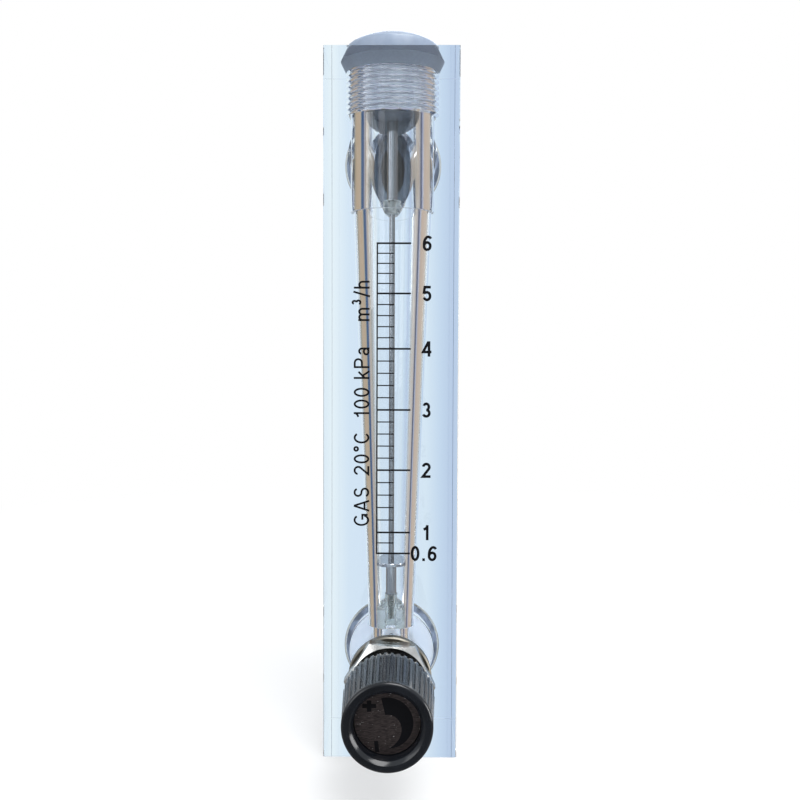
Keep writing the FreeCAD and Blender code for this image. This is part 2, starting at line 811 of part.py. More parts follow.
def rear_fitting(label, level):
    """Nipple: threaded end in the block, flange, hexagon, panel nut's thread and pipe thread."""
    body = new_body(label)
    insert = "port_hole / 2 - thread_clearance"
    points = [
        ("fitting_bore / 2", "-fitting_insert"),
        (insert, "-fitting_insert"),
        (insert, "-port_mouth_depth"),
        ("port_neck / 2", "-port_mouth_depth"),
        ("port_neck / 2", "0"),
        ("fitting_flange / 2 - fitting_flange_bevel", "0"),
        ("fitting_flange / 2", "fitting_flange_bevel"),
        ("fitting_flange / 2", "fitting_flange_thickness"),
        ("panel_thread / 2", "fitting_flange_thickness"),
        ("panel_thread / 2", "panel_thread_end"),
        ("pipe_thread / 2", "panel_thread_end"),
        ("pipe_thread / 2", "fitting_end - fitting_end_chamfer"),
        ("pipe_thread / 2 - fitting_end_chamfer", "fitting_end"),
        ("fitting_bore / 2", "fitting_end"),
    ]
    lathe(body, f"{label}_turning", points)
    flats = hexagon(body, f"{label}_hex_section", "fitting_hex_flats")
    raised_pad(body, f"{label}_hex", flats, "fitting_flange_thickness", "fitting_hex_thickness")
    doc.recompute()
    hex_corner_cut(body, f"{label}_hex_chamfer", "fitting_hex_flats", "fitting_hex_back", True)
    bore = circle(body, f"{label}_bore_section", "XY_Plane", "fitting_bore / 2")
    raised_pocket(body, f"{label}_bore", bore, "fitting_flange_thickness", "fitting_hex_thickness")
    place(body, -90, "rear_face", level)


def panel_nut(label, level):
    """Thin hexagon nut that clamps the panel against the fitting's hexagon."""
    body = new_body(label)
    section = hexagon(body, f"{label}_section", "nut_flats")
    raised_pad(body, f"{label}_blank", section, "nut_front", "nut_thickness")
    doc.recompute()
    hex_corner_cut(body, f"{label}_front_chamfer", "nut_flats", "nut_front", False)
    hex_corner_cut(body, f"{label}_back_chamfer", "nut_flats", "nut_front + nut_thickness", True)
    hole = circle(body, f"{label}_hole_section", "XY_Plane", "panel_thread / 2 + nut_clearance")
    raised_pocket(body, f"{label}_hole", hole, "nut_front - 1", "nut_thickness + 2")
    place(body, -90, "rear_face", level)


def build():
    meter_block()
    top_plug()
    seal_ring(
        "plug_seal",
        "plug_neck",
        "plug_seal_section",
        "block_height - seal_clearance - plug_seal_section / 2",
    )
    rod_sleeve()
    upper_float_stop()
    guide_rod()
    lower_guide()
    float_body()
    bezel_washer()
    valve_body()
    valve_seal = seal_ring(
        "valve_body_seal", "valve_neck", "valve_seal_section", "-seal_clearance - valve_seal_section / 2"
    )
    place_on_valve_axis(valve_seal)
    valve_stem()
    stem_seal = new_body("stem_seal")
    seal_radius = "stem_seal_section / 2"
    section = circle(
        stem_seal,
        "stem_seal_profile",
        "XZ_Plane",
        seal_radius,
        f"groove_radius + stem_seal_squeeze_gap + {seal_radius}",
        "(groove_front + groove_back) / 2",
    )
    turned(stem_seal, "Revolution", "stem_seal_ring", section)
    place_on_valve_axis(stem_seal)
    knob()
    knob_screw()
    knob_disc()
    for name, level in (("inlet", "inlet_level"), ("outlet", "outlet_level")):
        rear_fitting(f"{name}_fitting", level)
        seal = seal_ring(
            f"{name}_seal", "port_neck", "port_seal_section", "-seal_clearance - port_seal_section / 2"
        )
        place(seal, -90, "rear_face", level)
        panel_nut(f"{name}_panel_nut", level)


def check_and_export():
    doc.recompute()
    for item in doc.Objects:
        bad = [state for state in item.State if state in ("Invalid", "Error")]
        if bad:
            raise RuntimeError(f"{item.Name} is {bad}")
    os.makedirs("parts", exist_ok=True)
    for body in bodies:
        shape = body.Shape
        if shape.isNull() or not shape.isValid() or len(shape.Solids) != 1:
            raise RuntimeError(f"{body.Label} is not one valid solid")
    for body in bodies:
        body.Shape.exportStep(os.path.join("parts", f"{body.Label}.step"))
        print(f"{body.Label}: {body.Shape.Volume:.1f} mm3")


build()
check_and_export()
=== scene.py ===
"""Looks of a panel-mounted variable-area flow meter.

A clear acrylic block holds a float on a rod, a valve and two rear fittings.

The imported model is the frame. Sizes are written in millimetres and turned into metres where a mesh is made.
The front face looks along -Y, the valve's axis is parallel to Y and the metering bore's axis is Z.
"""
import json
import math

import bmesh
import bpy
import numpy as np
from mathutils import Euler, Matrix, Vector

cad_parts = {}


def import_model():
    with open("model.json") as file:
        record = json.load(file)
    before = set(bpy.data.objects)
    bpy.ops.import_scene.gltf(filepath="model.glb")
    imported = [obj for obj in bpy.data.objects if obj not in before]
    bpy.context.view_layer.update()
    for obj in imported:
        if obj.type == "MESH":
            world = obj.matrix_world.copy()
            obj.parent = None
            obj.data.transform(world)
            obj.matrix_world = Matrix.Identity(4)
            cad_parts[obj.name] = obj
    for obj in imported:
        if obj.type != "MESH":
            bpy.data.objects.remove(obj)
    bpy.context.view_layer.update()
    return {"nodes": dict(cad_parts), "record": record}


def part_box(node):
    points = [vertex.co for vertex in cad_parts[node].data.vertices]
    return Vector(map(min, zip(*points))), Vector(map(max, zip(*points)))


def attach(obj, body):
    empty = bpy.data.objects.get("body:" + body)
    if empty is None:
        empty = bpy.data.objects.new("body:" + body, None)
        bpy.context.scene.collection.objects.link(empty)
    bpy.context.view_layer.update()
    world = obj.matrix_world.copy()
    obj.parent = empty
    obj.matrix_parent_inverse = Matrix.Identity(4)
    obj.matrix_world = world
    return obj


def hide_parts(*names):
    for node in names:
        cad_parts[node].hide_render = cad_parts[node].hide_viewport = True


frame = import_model()
NODES = frame["nodes"]
MM = 0.001


# ---- places read from the frame, in millimetres ----
def span(node):
    """Lowest and highest corners of a node in millimetres."""
    low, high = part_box(node)
    return low / MM, high / MM


block_low, block_high = span("meter_block")
FRONT = block_low.y
REAR = block_high.y
HALF_WIDTH = block_high.x
HEIGHT = block_high.z
DEPTH = REAR - FRONT
head_low, head_high = span("top_plug")
SEAT = head_low.z
HEAD_TOP = head_high.z
HEAD_RADIUS = head_high.x
knob_low, knob_high = span("knob")
VALVE_LEVEL = (knob_low.z + knob_high.z) / 2
KNOB_BACK = FRONT - knob_high.y
KNOB_FRONT = FRONT - knob_low.y
outlet_low, outlet_high = span("outlet_fitting")
OUTLET_LEVEL = (outlet_low.z + outlet_high.z) / 2
PORTS = (("inlet", VALVE_LEVEL), ("outlet", OUTLET_LEVEL))
FITTING_END = outlet_high.y - REAR
FLANGE_RADIUS = outlet_high.x
TUBE_BOTTOM = span("lower_guide")[0].z
STOP_BOTTOM = span("upper_float_stop")[0].z
ROD_TOP = span("guide_rod")[1].z
DISC_FACE = FRONT - span("knob_disc")[0].y

# ---- sizes of the block and its bores, in millimetres ----
EDGE = 0.05
CORNER = 0.25
SKIN = 0.01
TUBE_TOP = STOP_BOTTOM + 0.1
TUBE_BOTTOM_BORE = 13.3
TUBE_TOP_BORE = 22.8
CHAMBER_BORE = 24.4
FEED_BORE = 11.0
PLUG_THREAD = 27.0
PLUG_PITCH = 1.57
PLUG_THREAD_DEPTH = 0.8
THREAD_GAP = 0.05
FACE_SLACK = 0.05
PLUG_LIFT = 0.04
HEX_BRIGHT_EDGE = 1.9
MOUTH_DEPTH = 3.3
MOUTH_FLARE = 1.6
PORT_HOLE = 26.0
PORT_DEPTH = 8.0
PORT_MOUTH = 2.7
PORT_FLARE = 1.3
VALVE_HOLE = 18.0
VALVE_HOLE_DEPTH = 11.5
VALVE_MOUTH = 2.0
VALVE_FLARE = 1.1
VALVE_CHAMBER = 14.0
SEAT_WEB = 3.0
SEAT_BORE = 8.0
SEAT_CHAMFER = 0.8
PLUG_NECK = 21.2
SLEEVE = 4.7
SLEEVE_INSERT = 5.0
ROD = 2.5
PRESS_GAP = 0.03
ROUND_STEPS = 192


# ---- mesh helpers ----
def mesh_object(name, vertices, faces, sharp_angle=30.0):
    """Object from points in millimetres, smooth except across edges sharper than the angle."""
    mesh = bpy.data.meshes.new(name)
    mesh.from_pydata([tuple(v) for v in np.asarray(vertices, float) * MM], [], faces)
    mesh.validate()
    tidy = bmesh.new()
    tidy.from_mesh(mesh)
    bmesh.ops.remove_doubles(tidy, verts=tidy.verts, dist=1e-8)
    bmesh.ops.recalc_face_normals(tidy, faces=tidy.faces)
    tidy.to_mesh(mesh)
    tidy.free()
    smooth(mesh, sharp_angle)
    made = bpy.data.objects.new(name, mesh)
    bpy.context.scene.collection.objects.link(made)
    return made


def smooth(mesh, sharp_angle):
    mesh.shade_smooth()
    mesh.set_sharp_from_angle(angle=math.radians(sharp_angle))


def turned(name, profile, steps=ROUND_STEPS, sharp_angle=30.0, depth=None):
    """Solid of revolution about Z from a closed outline of (radius, height) pairs in millimetres.

    A depth function of (angle, radius, height) sinks the surface, as for grooves.
    """
    angles = np.linspace(0, 2 * math.pi, steps, endpoint=False)
    count = len(profile)
    vertices = []
    for angle in angles:
        for radius, height in profile:
            reach = radius - depth(angle, radius, height) if depth else radius
            vertices.append((reach * math.cos(angle), reach * math.sin(angle), height))
    faces = []
    for i in range(steps):
        j = (i + 1) % steps
        for k in range(count):
            m = (k + 1) % count
            if profile[k][0] == 0 and profile[m][0] == 0:
                continue
            corners = [i * count + k, i * count + m, j * count + m, j * count + k]
            if profile[k][0] == 0:
                corners = corners[:3]
            elif profile[m][0] == 0:
                corners = [corners[0], corners[1], corners[3]]
            faces.append(corners)
    return mesh_object(name, vertices, faces, sharp_angle)


def stepped(name, *points, **options):
    """Solid of revolution whose outline runs from the axis, through (radius, height) points, back to it."""
    return turned(name, [(0, points[0][1]), *points, (0, points[-1][1])], **options)


def box_object(name, low, high):
    corners = [(x, y, z) for x in (low[0], high[0]) for y in (low[1], high[1]) for z in (low[2], high[2])]
    faces = [(0, 1, 3, 2), (4, 6, 7, 5), (0, 4, 5, 1), (2, 3, 7, 6), (0, 2, 6, 4), (1, 5, 7, 3)]
    return mesh_object(name, corners, faces)


def arc(centre, radius, start, end, count):
    """Points on an arc between two angles in degrees, both ends included."""
    angles = np.radians(np.linspace(start, end, count))
    return [(centre[0] + radius * math.cos(a), centre[1] + radius * math.sin(a)) for a in angles]


def prism(name, outline, low, high):
    """Straight solid over an outline of (x, y) points between two heights."""
    count = len(outline)
    vertices = [(x, y, z) for z in (low, high) for x, y in outline]
    faces = [tuple(range(count)), tuple(range(2 * count - 1, count - 1, -1))]
    for i in range(count):
        j = (i + 1) % count
        faces.append((i, j, count + j, count + i))
    return mesh_object(name, vertices, faces)


def moved(piece, turn=0.0, along=0.0, level=0.0):
    """Turns a piece about X by degrees, then moves it along Y and Z by millimetres, in its mesh."""
    piece.data.transform(
        Matrix.Translation((0, along * MM, level * MM)) @ Matrix.Rotation(math.radians(turn), 4, "X")
    )
    return piece


def on_valve_axis(piece):
    """From an own axis Z, measured outward from the front face, to the valve's axis."""
    return moved(piece, 90, FRONT, VALVE_LEVEL)


def on_rear_axis(piece, level):
    """From an own axis Z, measured outward from the rear face, to a port's axis."""
    return moved(piece, -90, REAR, level)


def evaluated(piece):
    """Replaces the piece's mesh by its modified one and removes the modifiers."""
    graph = bpy.context.evaluated_depsgraph_get()
    mesh = bpy.data.meshes.new_from_object(piece.evaluated_get(graph))
    piece.modifiers.clear()
    piece.data = mesh
    return piece


def cut(piece, *tools, operation="DIFFERENCE"):
    """Boolean with each tool in turn; the tools are used up."""
    for tool in tools:
        modifier = piece.modifiers.new("cut", "BOOLEAN")
        modifier.operation = operation
        modifier.solver = "MANIFOLD"
        modifier.object = tool
        evaluated(piece)
        bpy.data.objects.remove(tool)
    return piece


def joined(piece, *others):
    return cut(piece, *others, operation="UNION")


def common(piece, other):
    return cut(piece, other, operation="INTERSECT")


# A thread's outline over one turn: share of the pitch, share of the depth.
THREAD_OUTLINE = ((0.0, 1.0), (0.12, 1.0), (0.46, 0.0), (0.64, 0.0))


def threaded_rod(name, radius, depth, pitch, low, high, steps=ROUND_STEPS):
    """Cylinder with a right-hand thread between two heights on Z; the crests lie at the radius."""
    per_turn = len(THREAD_OUTLINE)
    turns = math.ceil((high - low) / pitch) + 3
    rows = turns * per_turn
    start = low - 2 * pitch
    vertices = []
    for row in range(rows):
        share, sunk = THREAD_OUTLINE[row % per_turn]
        reach = radius - depth * sunk
        base = start + (row // per_turn + share) * pitch
        for step in range(steps):
            angle = 2 * math.pi * step / steps
            vertices.append((reach * math.cos(angle), reach * math.sin(angle), base + pitch * step / steps))

    def at(row, step):
        return (row + per_turn) * steps if step == steps else row * steps + step

    faces = []
    for row in range(rows - 1):
        for step in range(steps):
            if step == steps - 1 and row + 1 + per_turn >= rows:
                continue
            faces.append((at(row, step), at(row, step + 1), at(row + 1, step + 1), at(row + 1, step)))
    foot = [at(0, step) for step in range(steps)] + [at(row, 0) for row in range(per_turn, 0, -1)]
    last = rows - 1
    head = [at(last, step) for step in range(steps)]
    head += [at(row, steps - 1) for row in range(last - 1, last - per_turn - 1, -1)]
    for loop, centre in ((foot, start + pitch / 2), (head, start + (turns - 0.5) * pitch)):
        middle = len(vertices)
        vertices.append((0, 0, centre))
        for i, corner in enumerate(loop):
            faces.append((middle, corner, loop[(i + 1) % len(loop)]))
    rod = mesh_object(name, vertices, faces)
    common(rod, stepped("trim", (radius + 1, low), (radius + 1, high), steps=96))
    smooth(rod.data, 30)
    return rod


def hexagon(name, flats, low, high, turn=0.0, bevel_low=False, bevel_high=True):
    """Hexagonal prism on Z with a flat towards +Y and turned thirty-degree bevels on its corners."""
    corner = flats / math.sqrt(3)
    points = arc((0, 0), corner, turn, turn + 300, 6)
    blank = prism(name, points, low, high)
    inner = flats / 2 * 0.97
    outer = corner + 1
    drop = (outer - inner) * math.tan(math.radians(30))
    profile = [(0, low), (inner, low)]
    profile += [(outer, low + drop)] if bevel_low else [(outer, low)]
    profile += [(outer, high - drop)] if bevel_high else [(outer, high)]
    profile += [(inner, high), (0, high)]
    return common(blank, turned("bevels", profile))


# ---- camera, light and stage ----
CAMERA_PLACE = (4.5736, -243.3536, 110.366)
CAMERA_YAW = 0.5172
CAMERA_PITCH = 2.1577
CAMERA_ROLL = 0.1919
CAMERA_LENS = 35.864


def camera():
    data = bpy.data.cameras.new("camera")
    data.sensor_width = 36.0
    data.lens = CAMERA_LENS
    data.clip_start = 0.01
    made = bpy.data.objects.new("camera", data)
    made.location = Vector(CAMERA_PLACE) * MM
    made.rotation_euler = Euler(
        (math.radians(90 - CAMERA_PITCH), math.radians(-CAMERA_ROLL), math.radians(CAMERA_YAW))
    )
    bpy.context.scene.collection.objects.link(made)
    bpy.context.scene.camera = made


camera()
bpy.context.scene.view_settings.view_transform = "Standard"


def area_lamp(name, place, target, size, power, through_glass=True):
    """Square lamp at a place in metres, facing a target."""
    data = bpy.data.lights.new(name, "AREA")
    data.size = size
    data.energy = power
    lamp = bpy.data.objects.new(name, data)
    lamp.visible_transmission = through_glass
    lamp.location = place
    lamp.rotation_euler = (Vector(target) - Vector(place)).to_track_quat("-Z", "Y").to_euler()
    bpy.context.scene.collection.objects.link(lamp)


def lamps():
    middle = (0, 0, 0.1)
    area_lamp("key", (0.22, -0.38, 0.78), middle, 0.5, 5.5)
    area_lamp("fill", (-0.6, -0.5, 0.35), middle, 0.5, 1.4)
    area_lamp("back", (0.1, 0.7, 0.5), middle, 0.6, 2.5, through_glass=False)
    area_lamp("side", (0.45, -0.12, 0.03), (0, -0.05, 0.03), 0.22, 1.1, through_glass=False)


# ---- materials ----
class Nodes:
    """A node tree being built: every call adds a node and returns one of its outputs."""

    def __init__(self, tree):
        self.tree = tree

    def node(self, kind, output=0, properties=(), **inputs):
        made = self.tree.nodes.new(f"ShaderNode{kind}")
        for key, value in properties:
            setattr(made, key, value)
        for key, value in inputs.items():
            self.feed(made, int(key[1:]) if key[1:].isdigit() else key.replace("_", " "), value)
        return made.outputs[output]

    def feed(self, made, socket, value):
        if isinstance(value, bpy.types.NodeSocket):
            self.tree.links.new(value, made.inputs[socket])
        else:
            made.inputs[socket].default_value = value

    def place(self):
        return self.node("TexCoord", 3)

    def noise(self, scale, detail=3.0, roughness=0.5, stretch=(1, 1, 1)):
        scaled = self.node("Mapping", Vector=self.place(), Scale=stretch)
        return self.node("TexNoise", Vector=scaled, Scale=scale, Detail=detail, Roughness=roughness)

    def ramp(self, value, *stops):
        made = self.tree.nodes.new("ShaderNodeValToRGB")
        elements = made.color_ramp.elements
        for index, (at, colour) in enumerate(stops):
            stop = elements[index] if index < 2 else elements.new(at)
            stop.position = at
            stop.color = (*colour, 1.0)
        self.tree.links.new(value, made.inputs[0])
        return made.outputs[0]

    def spread(self, value, low, high, start=0.0, end=1.0):
        """Maps start..end to low..high, held at both ends."""
        return self.node("MapRange", _0=value, _1=start, _2=end, _3=low, _4=high)

    def math(self, kind, first, second=0.0):
        return self.node("Math", properties=(("operation", kind),), _0=first, _1=second)

    def rays(self, *names):
        """Light Path outputs."""
        made = self.tree.nodes.new("ShaderNodeLightPath")
        return [made.outputs[name] for name in names]

    def parts(self, vector):
        """The three numbers of a vector."""
        made = self.tree.nodes.new("ShaderNodeSeparateXYZ")
        self.feed(made, 0, vector)
        return list(made.outputs)

    def mixed(self, share, first, second):
        return self.node("MixShader", _0=share, _1=first, _2=second)

    def bump(self, height, strength, distance):
        return self.node("Bump", Height=height, Strength=strength, Distance=distance)

    def blend(self, share, first, second, kind="MIX"):
        """Colour between two, or the second added to the first."""
        properties = (("data_type", "RGBA"), ("blend_type", kind))
        return self.node("Mix", 2, properties, _0=share, _6=first, _7=second)

    def tones(self, value, dark, light):
        """Colour that goes from dark to light over the middle of a noise's range."""
        return self.ramp(value, (0.3, dark), (0.7, light))

    def squares(self, first, second):
        """Sum of two squares."""
        return self.math("ADD", self.math("MULTIPLY", first, first), self.math("MULTIPLY", second, second))

    def between(self, value, low, high):
        """One where the value, in metres, lies between two limits in millimetres."""
        above = self.math("GREATER_THAN", value, low * MM)
        return self.math("MULTIPLY", above, self.math("LESS_THAN", value, high * MM))

    def finish(self, kind, shader):
        output = self.tree.nodes.new(kind)
        self.tree.links.new(shader, output.inputs[0])


class Shader(Nodes):
    """A material built round its Principled shader."""

    def __init__(self, name):
        self.material = bpy.data.materials.new(name)
        self.material.use_nodes = True
        super().__init__(self.material.node_tree)
        self.surface = self.tree.nodes["Principled BSDF"]

    def set(self, **inputs):
        for key, value in inputs.items():
            self.feed(self.surface, key.replace("_", " "), value)
        return self


def bare_material(name):
    """A material with an empty node tree, for the stage."""
    material = bpy.data.materials.new(name)
    material.use_nodes = True
    material.node_tree.nodes.clear()
    return material, Nodes(material.node_tree)


def acrylic():
    """Clear and polished; the port's floor and the bore's ledges are frosted, and the front corners carry a
    painted reflection.
    """
    made = Shader("acrylic")
    haze = made.noise(90.0, 2.0)
    marks = made.noise(1200.0, 3.0)
    across, depthwise, level = made.parts(made.place())

    def near(value, target, slack):
        off = made.math("ABSOLUTE", made.math("SUBTRACT", value, target * MM))
        return made.math("LESS_THAN", off, slack * MM)

    def within(first, second, reach):
        return made.math("LESS_THAN", made.squares(first, second), (reach * MM) ** 2)

    down = made.math("SUBTRACT", level, VALVE_LEVEL * MM)
    port_floor = made.math(
        "MULTIPLY", near(depthwise, REAR - PORT_DEPTH, 0.05), within(across, down, PORT_HOLE / 2 - 0.01)
    )
    ledges = made.math("MAXIMUM", near(level, TUBE_TOP, 0.03), near(level, TUBE_BOTTOM, 0.03))
    ledges = made.math("MULTIPLY", ledges, within(across, depthwise, CHAMBER_BORE / 2 - 0.01))
    frost = made.math("MAXIMUM", port_floor, ledges)
    # painted reflection: the front corners' chamfers turn opaque, dark on the left and tan on the right,
    # fading out towards the top
    corner = made.math("GREATER_THAN", made.math("ABSOLUTE", across), (HALF_WIDTH - CORNER * 0.8) * MM)
    corner = made.math("MULTIPLY", corner, made.math("LESS_THAN", depthwise, (FRONT + CORNER * 0.8) * MM))
    corner = made.math("MULTIPLY", corner, made.spread(level, 0.85, 0.0, 0.11, 0.17))
    side = made.math("GREATER_THAN", across, 0.0)
    edge_reflection = made.blend(side, (0.16, 0.15, 0.14, 1), (0.66, 0.50, 0.34, 1))
    tint = made.blend(corner, (0.965, 0.98, 0.99, 1), edge_reflection)
    opaque = made.math("MAXIMUM", made.math("MULTIPLY", frost, made.spread(marks, 0.35, 0.6)), corner)
    made.set(Base_Color=tint, Transmission_Weight=made.math("SUBTRACT", 1.0, opaque), IOR=1.49)
    made.set(Roughness=made.math("ADD", made.spread(haze, 0.0, 0.003), made.math("MULTIPLY", frost, 0.45)))
    # the light that the lamps would send through the clear walls on to the frosted floor
    made.set(Emission_Color=(0.72, 0.84, 1.0, 1), Emission_Strength=made.math("MULTIPLY", port_floor, 0.3))
    return made.material


def plug_acrylic():
    """Milky: paler in the thread as painted light, greyer on the crown and dark under the foot as painted
    shade.
    """
    made = Shader("plug_acrylic")
    haze = made.noise(300.0, 3.0)
    # painted shade greys the crown and painted light pales the thread: two copies of one tone
    shaded_crown = made.tones(haze, (0.38, 0.45, 0.57), (0.47, 0.55, 0.68))
    lit_thread = made.tones(haze, (0.68, 0.75, 0.88), (0.78, 0.84, 0.95))
    level = made.parts(made.place())[2]
    # painted shade: dark under the foot
    under = made.math("LESS_THAN", level, (SEAT + 0.2) * MM)
    proud = made.math("GREATER_THAN", level, HEIGHT * MM)
    tint = made.blend(under, made.blend(proud, lit_thread, shaded_crown), (0.10, 0.125, 0.155, 1))
    made.set(Base_Color=tint, Transmission_Weight=0.45, IOR=1.49, Specular_IOR_Level=0.35)
    made.set(Roughness=made.spread(haze, 0.18, 0.28))
    return made.material


def nickel():
    """Bright plating; painted shade darkens the outlet's insert, painted light makes the inlet's pale and not
    metallic, and painted shade turns the valve body's flats olive.
    """
    made = Shader("nickel")
    cloud = made.noise(220.0, 4.0)
    fine = made.noise(2500.0, 2.0)
    bright = made.tones(cloud, (0.56, 0.55, 0.525), (0.74, 0.735, 0.72))
    dark = made.tones(cloud, (0.085, 0.11, 0.15), (0.13, 0.16, 0.20))
    pale = made.tones(cloud, (0.66, 0.75, 0.88), (0.80, 0.88, 0.98))
    olive = made.tones(cloud, (0.16, 0.15, 0.125), (0.26, 0.245, 0.215))
    depthwise, level = made.parts(made.place())[1:]

    in_port = made.between(depthwise, FRONT + DEPTH / 2, REAR - FACE_SLACK)
    upper = made.math("GREATER_THAN", level, HEIGHT / 2 * MM)
    flats = made.between(depthwise, FRONT - VALVE_HEX_FRONT + HEX_BRIGHT_EDGE, FRONT)
    # painted shade on the outlet's insert and painted light on the inlet's
    tint = made.blend(in_port, bright, made.blend(upper, pale, dark))
    # painted shade: olive on the hexagon behind its bright front edge
    tint = made.blend(flats, tint, olive)
    # the inlet's insert with its painted light is not metallic
    lit_inlet = made.math("MULTIPLY", in_port, made.math("LESS_THAN", level, HEIGHT / 2 * MM))
    made.set(Base_Color=tint, Metallic=made.spread(lit_inlet, 1.0, 0.0))
    made.set(Roughness=made.spread(cloud, 0.14, 0.30))
    made.set(Normal=made.bump(fine, 0.25, 0.00006))
    return made.material


def washer_metal():
    """Dull plating of the washer behind the hexagon, painted dark as painted shade."""
    made = Shader("washer_metal")
    cloud = made.noise(160.0, 4.0)
    fine = made.noise(2200.0, 2.0)
    # painted shade: a dark tone for the whole washer
    tint = made.tones(cloud, (0.13, 0.12, 0.10), (0.21, 0.20, 0.175))
    made.set(Base_Color=tint, Metallic=1.0, Roughness=made.spread(cloud, 0.32, 0.45))
    made.set(Normal=made.bump(fine, 0.25, 0.00006))
    return made.material


def steel(name, shade):
    """Polished steel, drawn along Z."""
    made = Shader(name)
    streak = made.noise(900.0, 3.0, stretch=(1, 1, 0.05))
    dark = (shade * 0.84, shade * 0.90, shade)
    tint = made.tones(streak, dark, (shade, shade * 1.05, shade * 1.14))
    made.set(Base_Color=tint, Metallic=1.0, Roughness=made.spread(streak, 0.08, 0.18))
    return made.material


def rubber():
    """Grey rubber; the rings behind the fittings' flanges are bluer, in dark and pale patches."""
    made = Shader("seal_rubber")
    grain = made.noise(1500.0, 3.0)
    patch = made.noise(260.0, 3.0)
    grey = made.tones(grain, (0.24, 0.285, 0.36), (0.29, 0.34, 0.42))
    blue = made.ramp(patch, (0.40, (0.16, 0.20, 0.28)), (0.55, (0.36, 0.44, 0.60)))
    behind = made.math("GREATER_THAN", made.parts(made.place())[1], (REAR - PORT_MOUTH - 0.1) * MM)
    made.set(Base_Color=made.blend(behind, grey, blue), Roughness=made.spread(grain, 0.4, 0.55))
    return made.material


def nylon():
    """Cloudy and half clear."""
    made = Shader("guide_nylon")
    cloud = made.noise(250.0, 3.0)
    tint = made.tones(cloud, (0.84, 0.90, 0.88), (0.93, 0.97, 0.95))
    made.set(Base_Color=tint, Transmission_Weight=0.85, IOR=1.45, Roughness=made.spread(cloud, 0.2, 0.35))
    return made.material


def knob_plastic():
    """Black moulded plastic: the ribs' crests a little grey as a painted highlight, grooves and rim left
    black, the grooves as painted shade.
    """
    made = Shader("knob_plastic")
    grain = made.noise(1800.0, 4.0)
    cloud = made.noise(180.0, 3.0)
    across, depthwise, level = made.parts(made.place())
    down = made.math("SUBTRACT", level, VALVE_LEVEL * MM)
    reach = made.math("SQRT", made.squares(across, down))
    back = (FRONT - KNOB_BACK) * MM
    rim = (FRONT - KNOB_FRONT + RIM_LENGTH) * MM
    wall = made.spread(depthwise, KNOB_FRONT_RADIUS * MM, KNOB_BACK_RADIUS * MM, rim, back)
    # painted highlight on the rib crests; the grooves stay black as painted shade
    crest = made.spread(made.math("SUBTRACT", wall, reach), 1.0, 0.0, 0.02 * MM, 0.30 * MM)
    crest_highlight = made.math("MULTIPLY", crest, made.math("GREATER_THAN", depthwise, rim))
    black = made.tones(cloud, (0.0035, 0.0045, 0.0065), (0.006, 0.0075, 0.0105))
    grey = made.tones(cloud, (0.010, 0.013, 0.018), (0.019, 0.024, 0.032))
    tint = made.blend(crest_highlight, black, grey)
    made.set(Base_Color=tint, Roughness=made.spread(cloud, 0.13, 0.22), IOR=1.5, Specular_IOR_Level=0.45)
    made.set(Normal=made.bump(grain, 0.12, 0.00004))
    return made.material


def brushed_disc():
    """Dark metal with fine brushing, a little off level, and a few bright specks."""
    made = Shader("disc_metal")
    tilted = made.node("Mapping", Vector=made.place(), Rotation=(0, math.radians(4), 0))
    long = made.node("Mapping", Vector=tilted, Scale=(0.09, 1, 1))
    streak = made.node("TexNoise", Vector=long, Scale=6500.0, Detail=3.0, Roughness=0.7)
    cloud = made.noise(300.0, 2.0)
    speck = made.noise(2600.0, 1.0)
    lines = made.ramp(streak, (0.35, (0.012, 0.010, 0.011)), (0.65, (0.10, 0.080, 0.078)))
    dots = made.ramp(speck, (0.72, (0, 0, 0)), (0.78, (0.5, 0.5, 0.5)))
    tint = made.blend(1.0, lines, dots, "ADD")
    made.set(Base_Color=tint, Metallic=0.7, Roughness=made.spread(cloud, 0.32, 0.45))
    made.set(Normal=made.bump(streak, 0.3, 0.00003))
    return made.material


def ink():
    """Matt black print."""
    made = Shader("ink")
    speck = made.noise(3000.0, 2.0)
    tint = made.ramp(speck, (0.2, (0.002, 0.002, 0.003)), (0.8, (0.005, 0.005, 0.007)))
    made.set(Base_Color=tint, Roughness=made.spread(speck, 0.45, 0.6), Specular_IOR_Level=0.12)
    return made.material


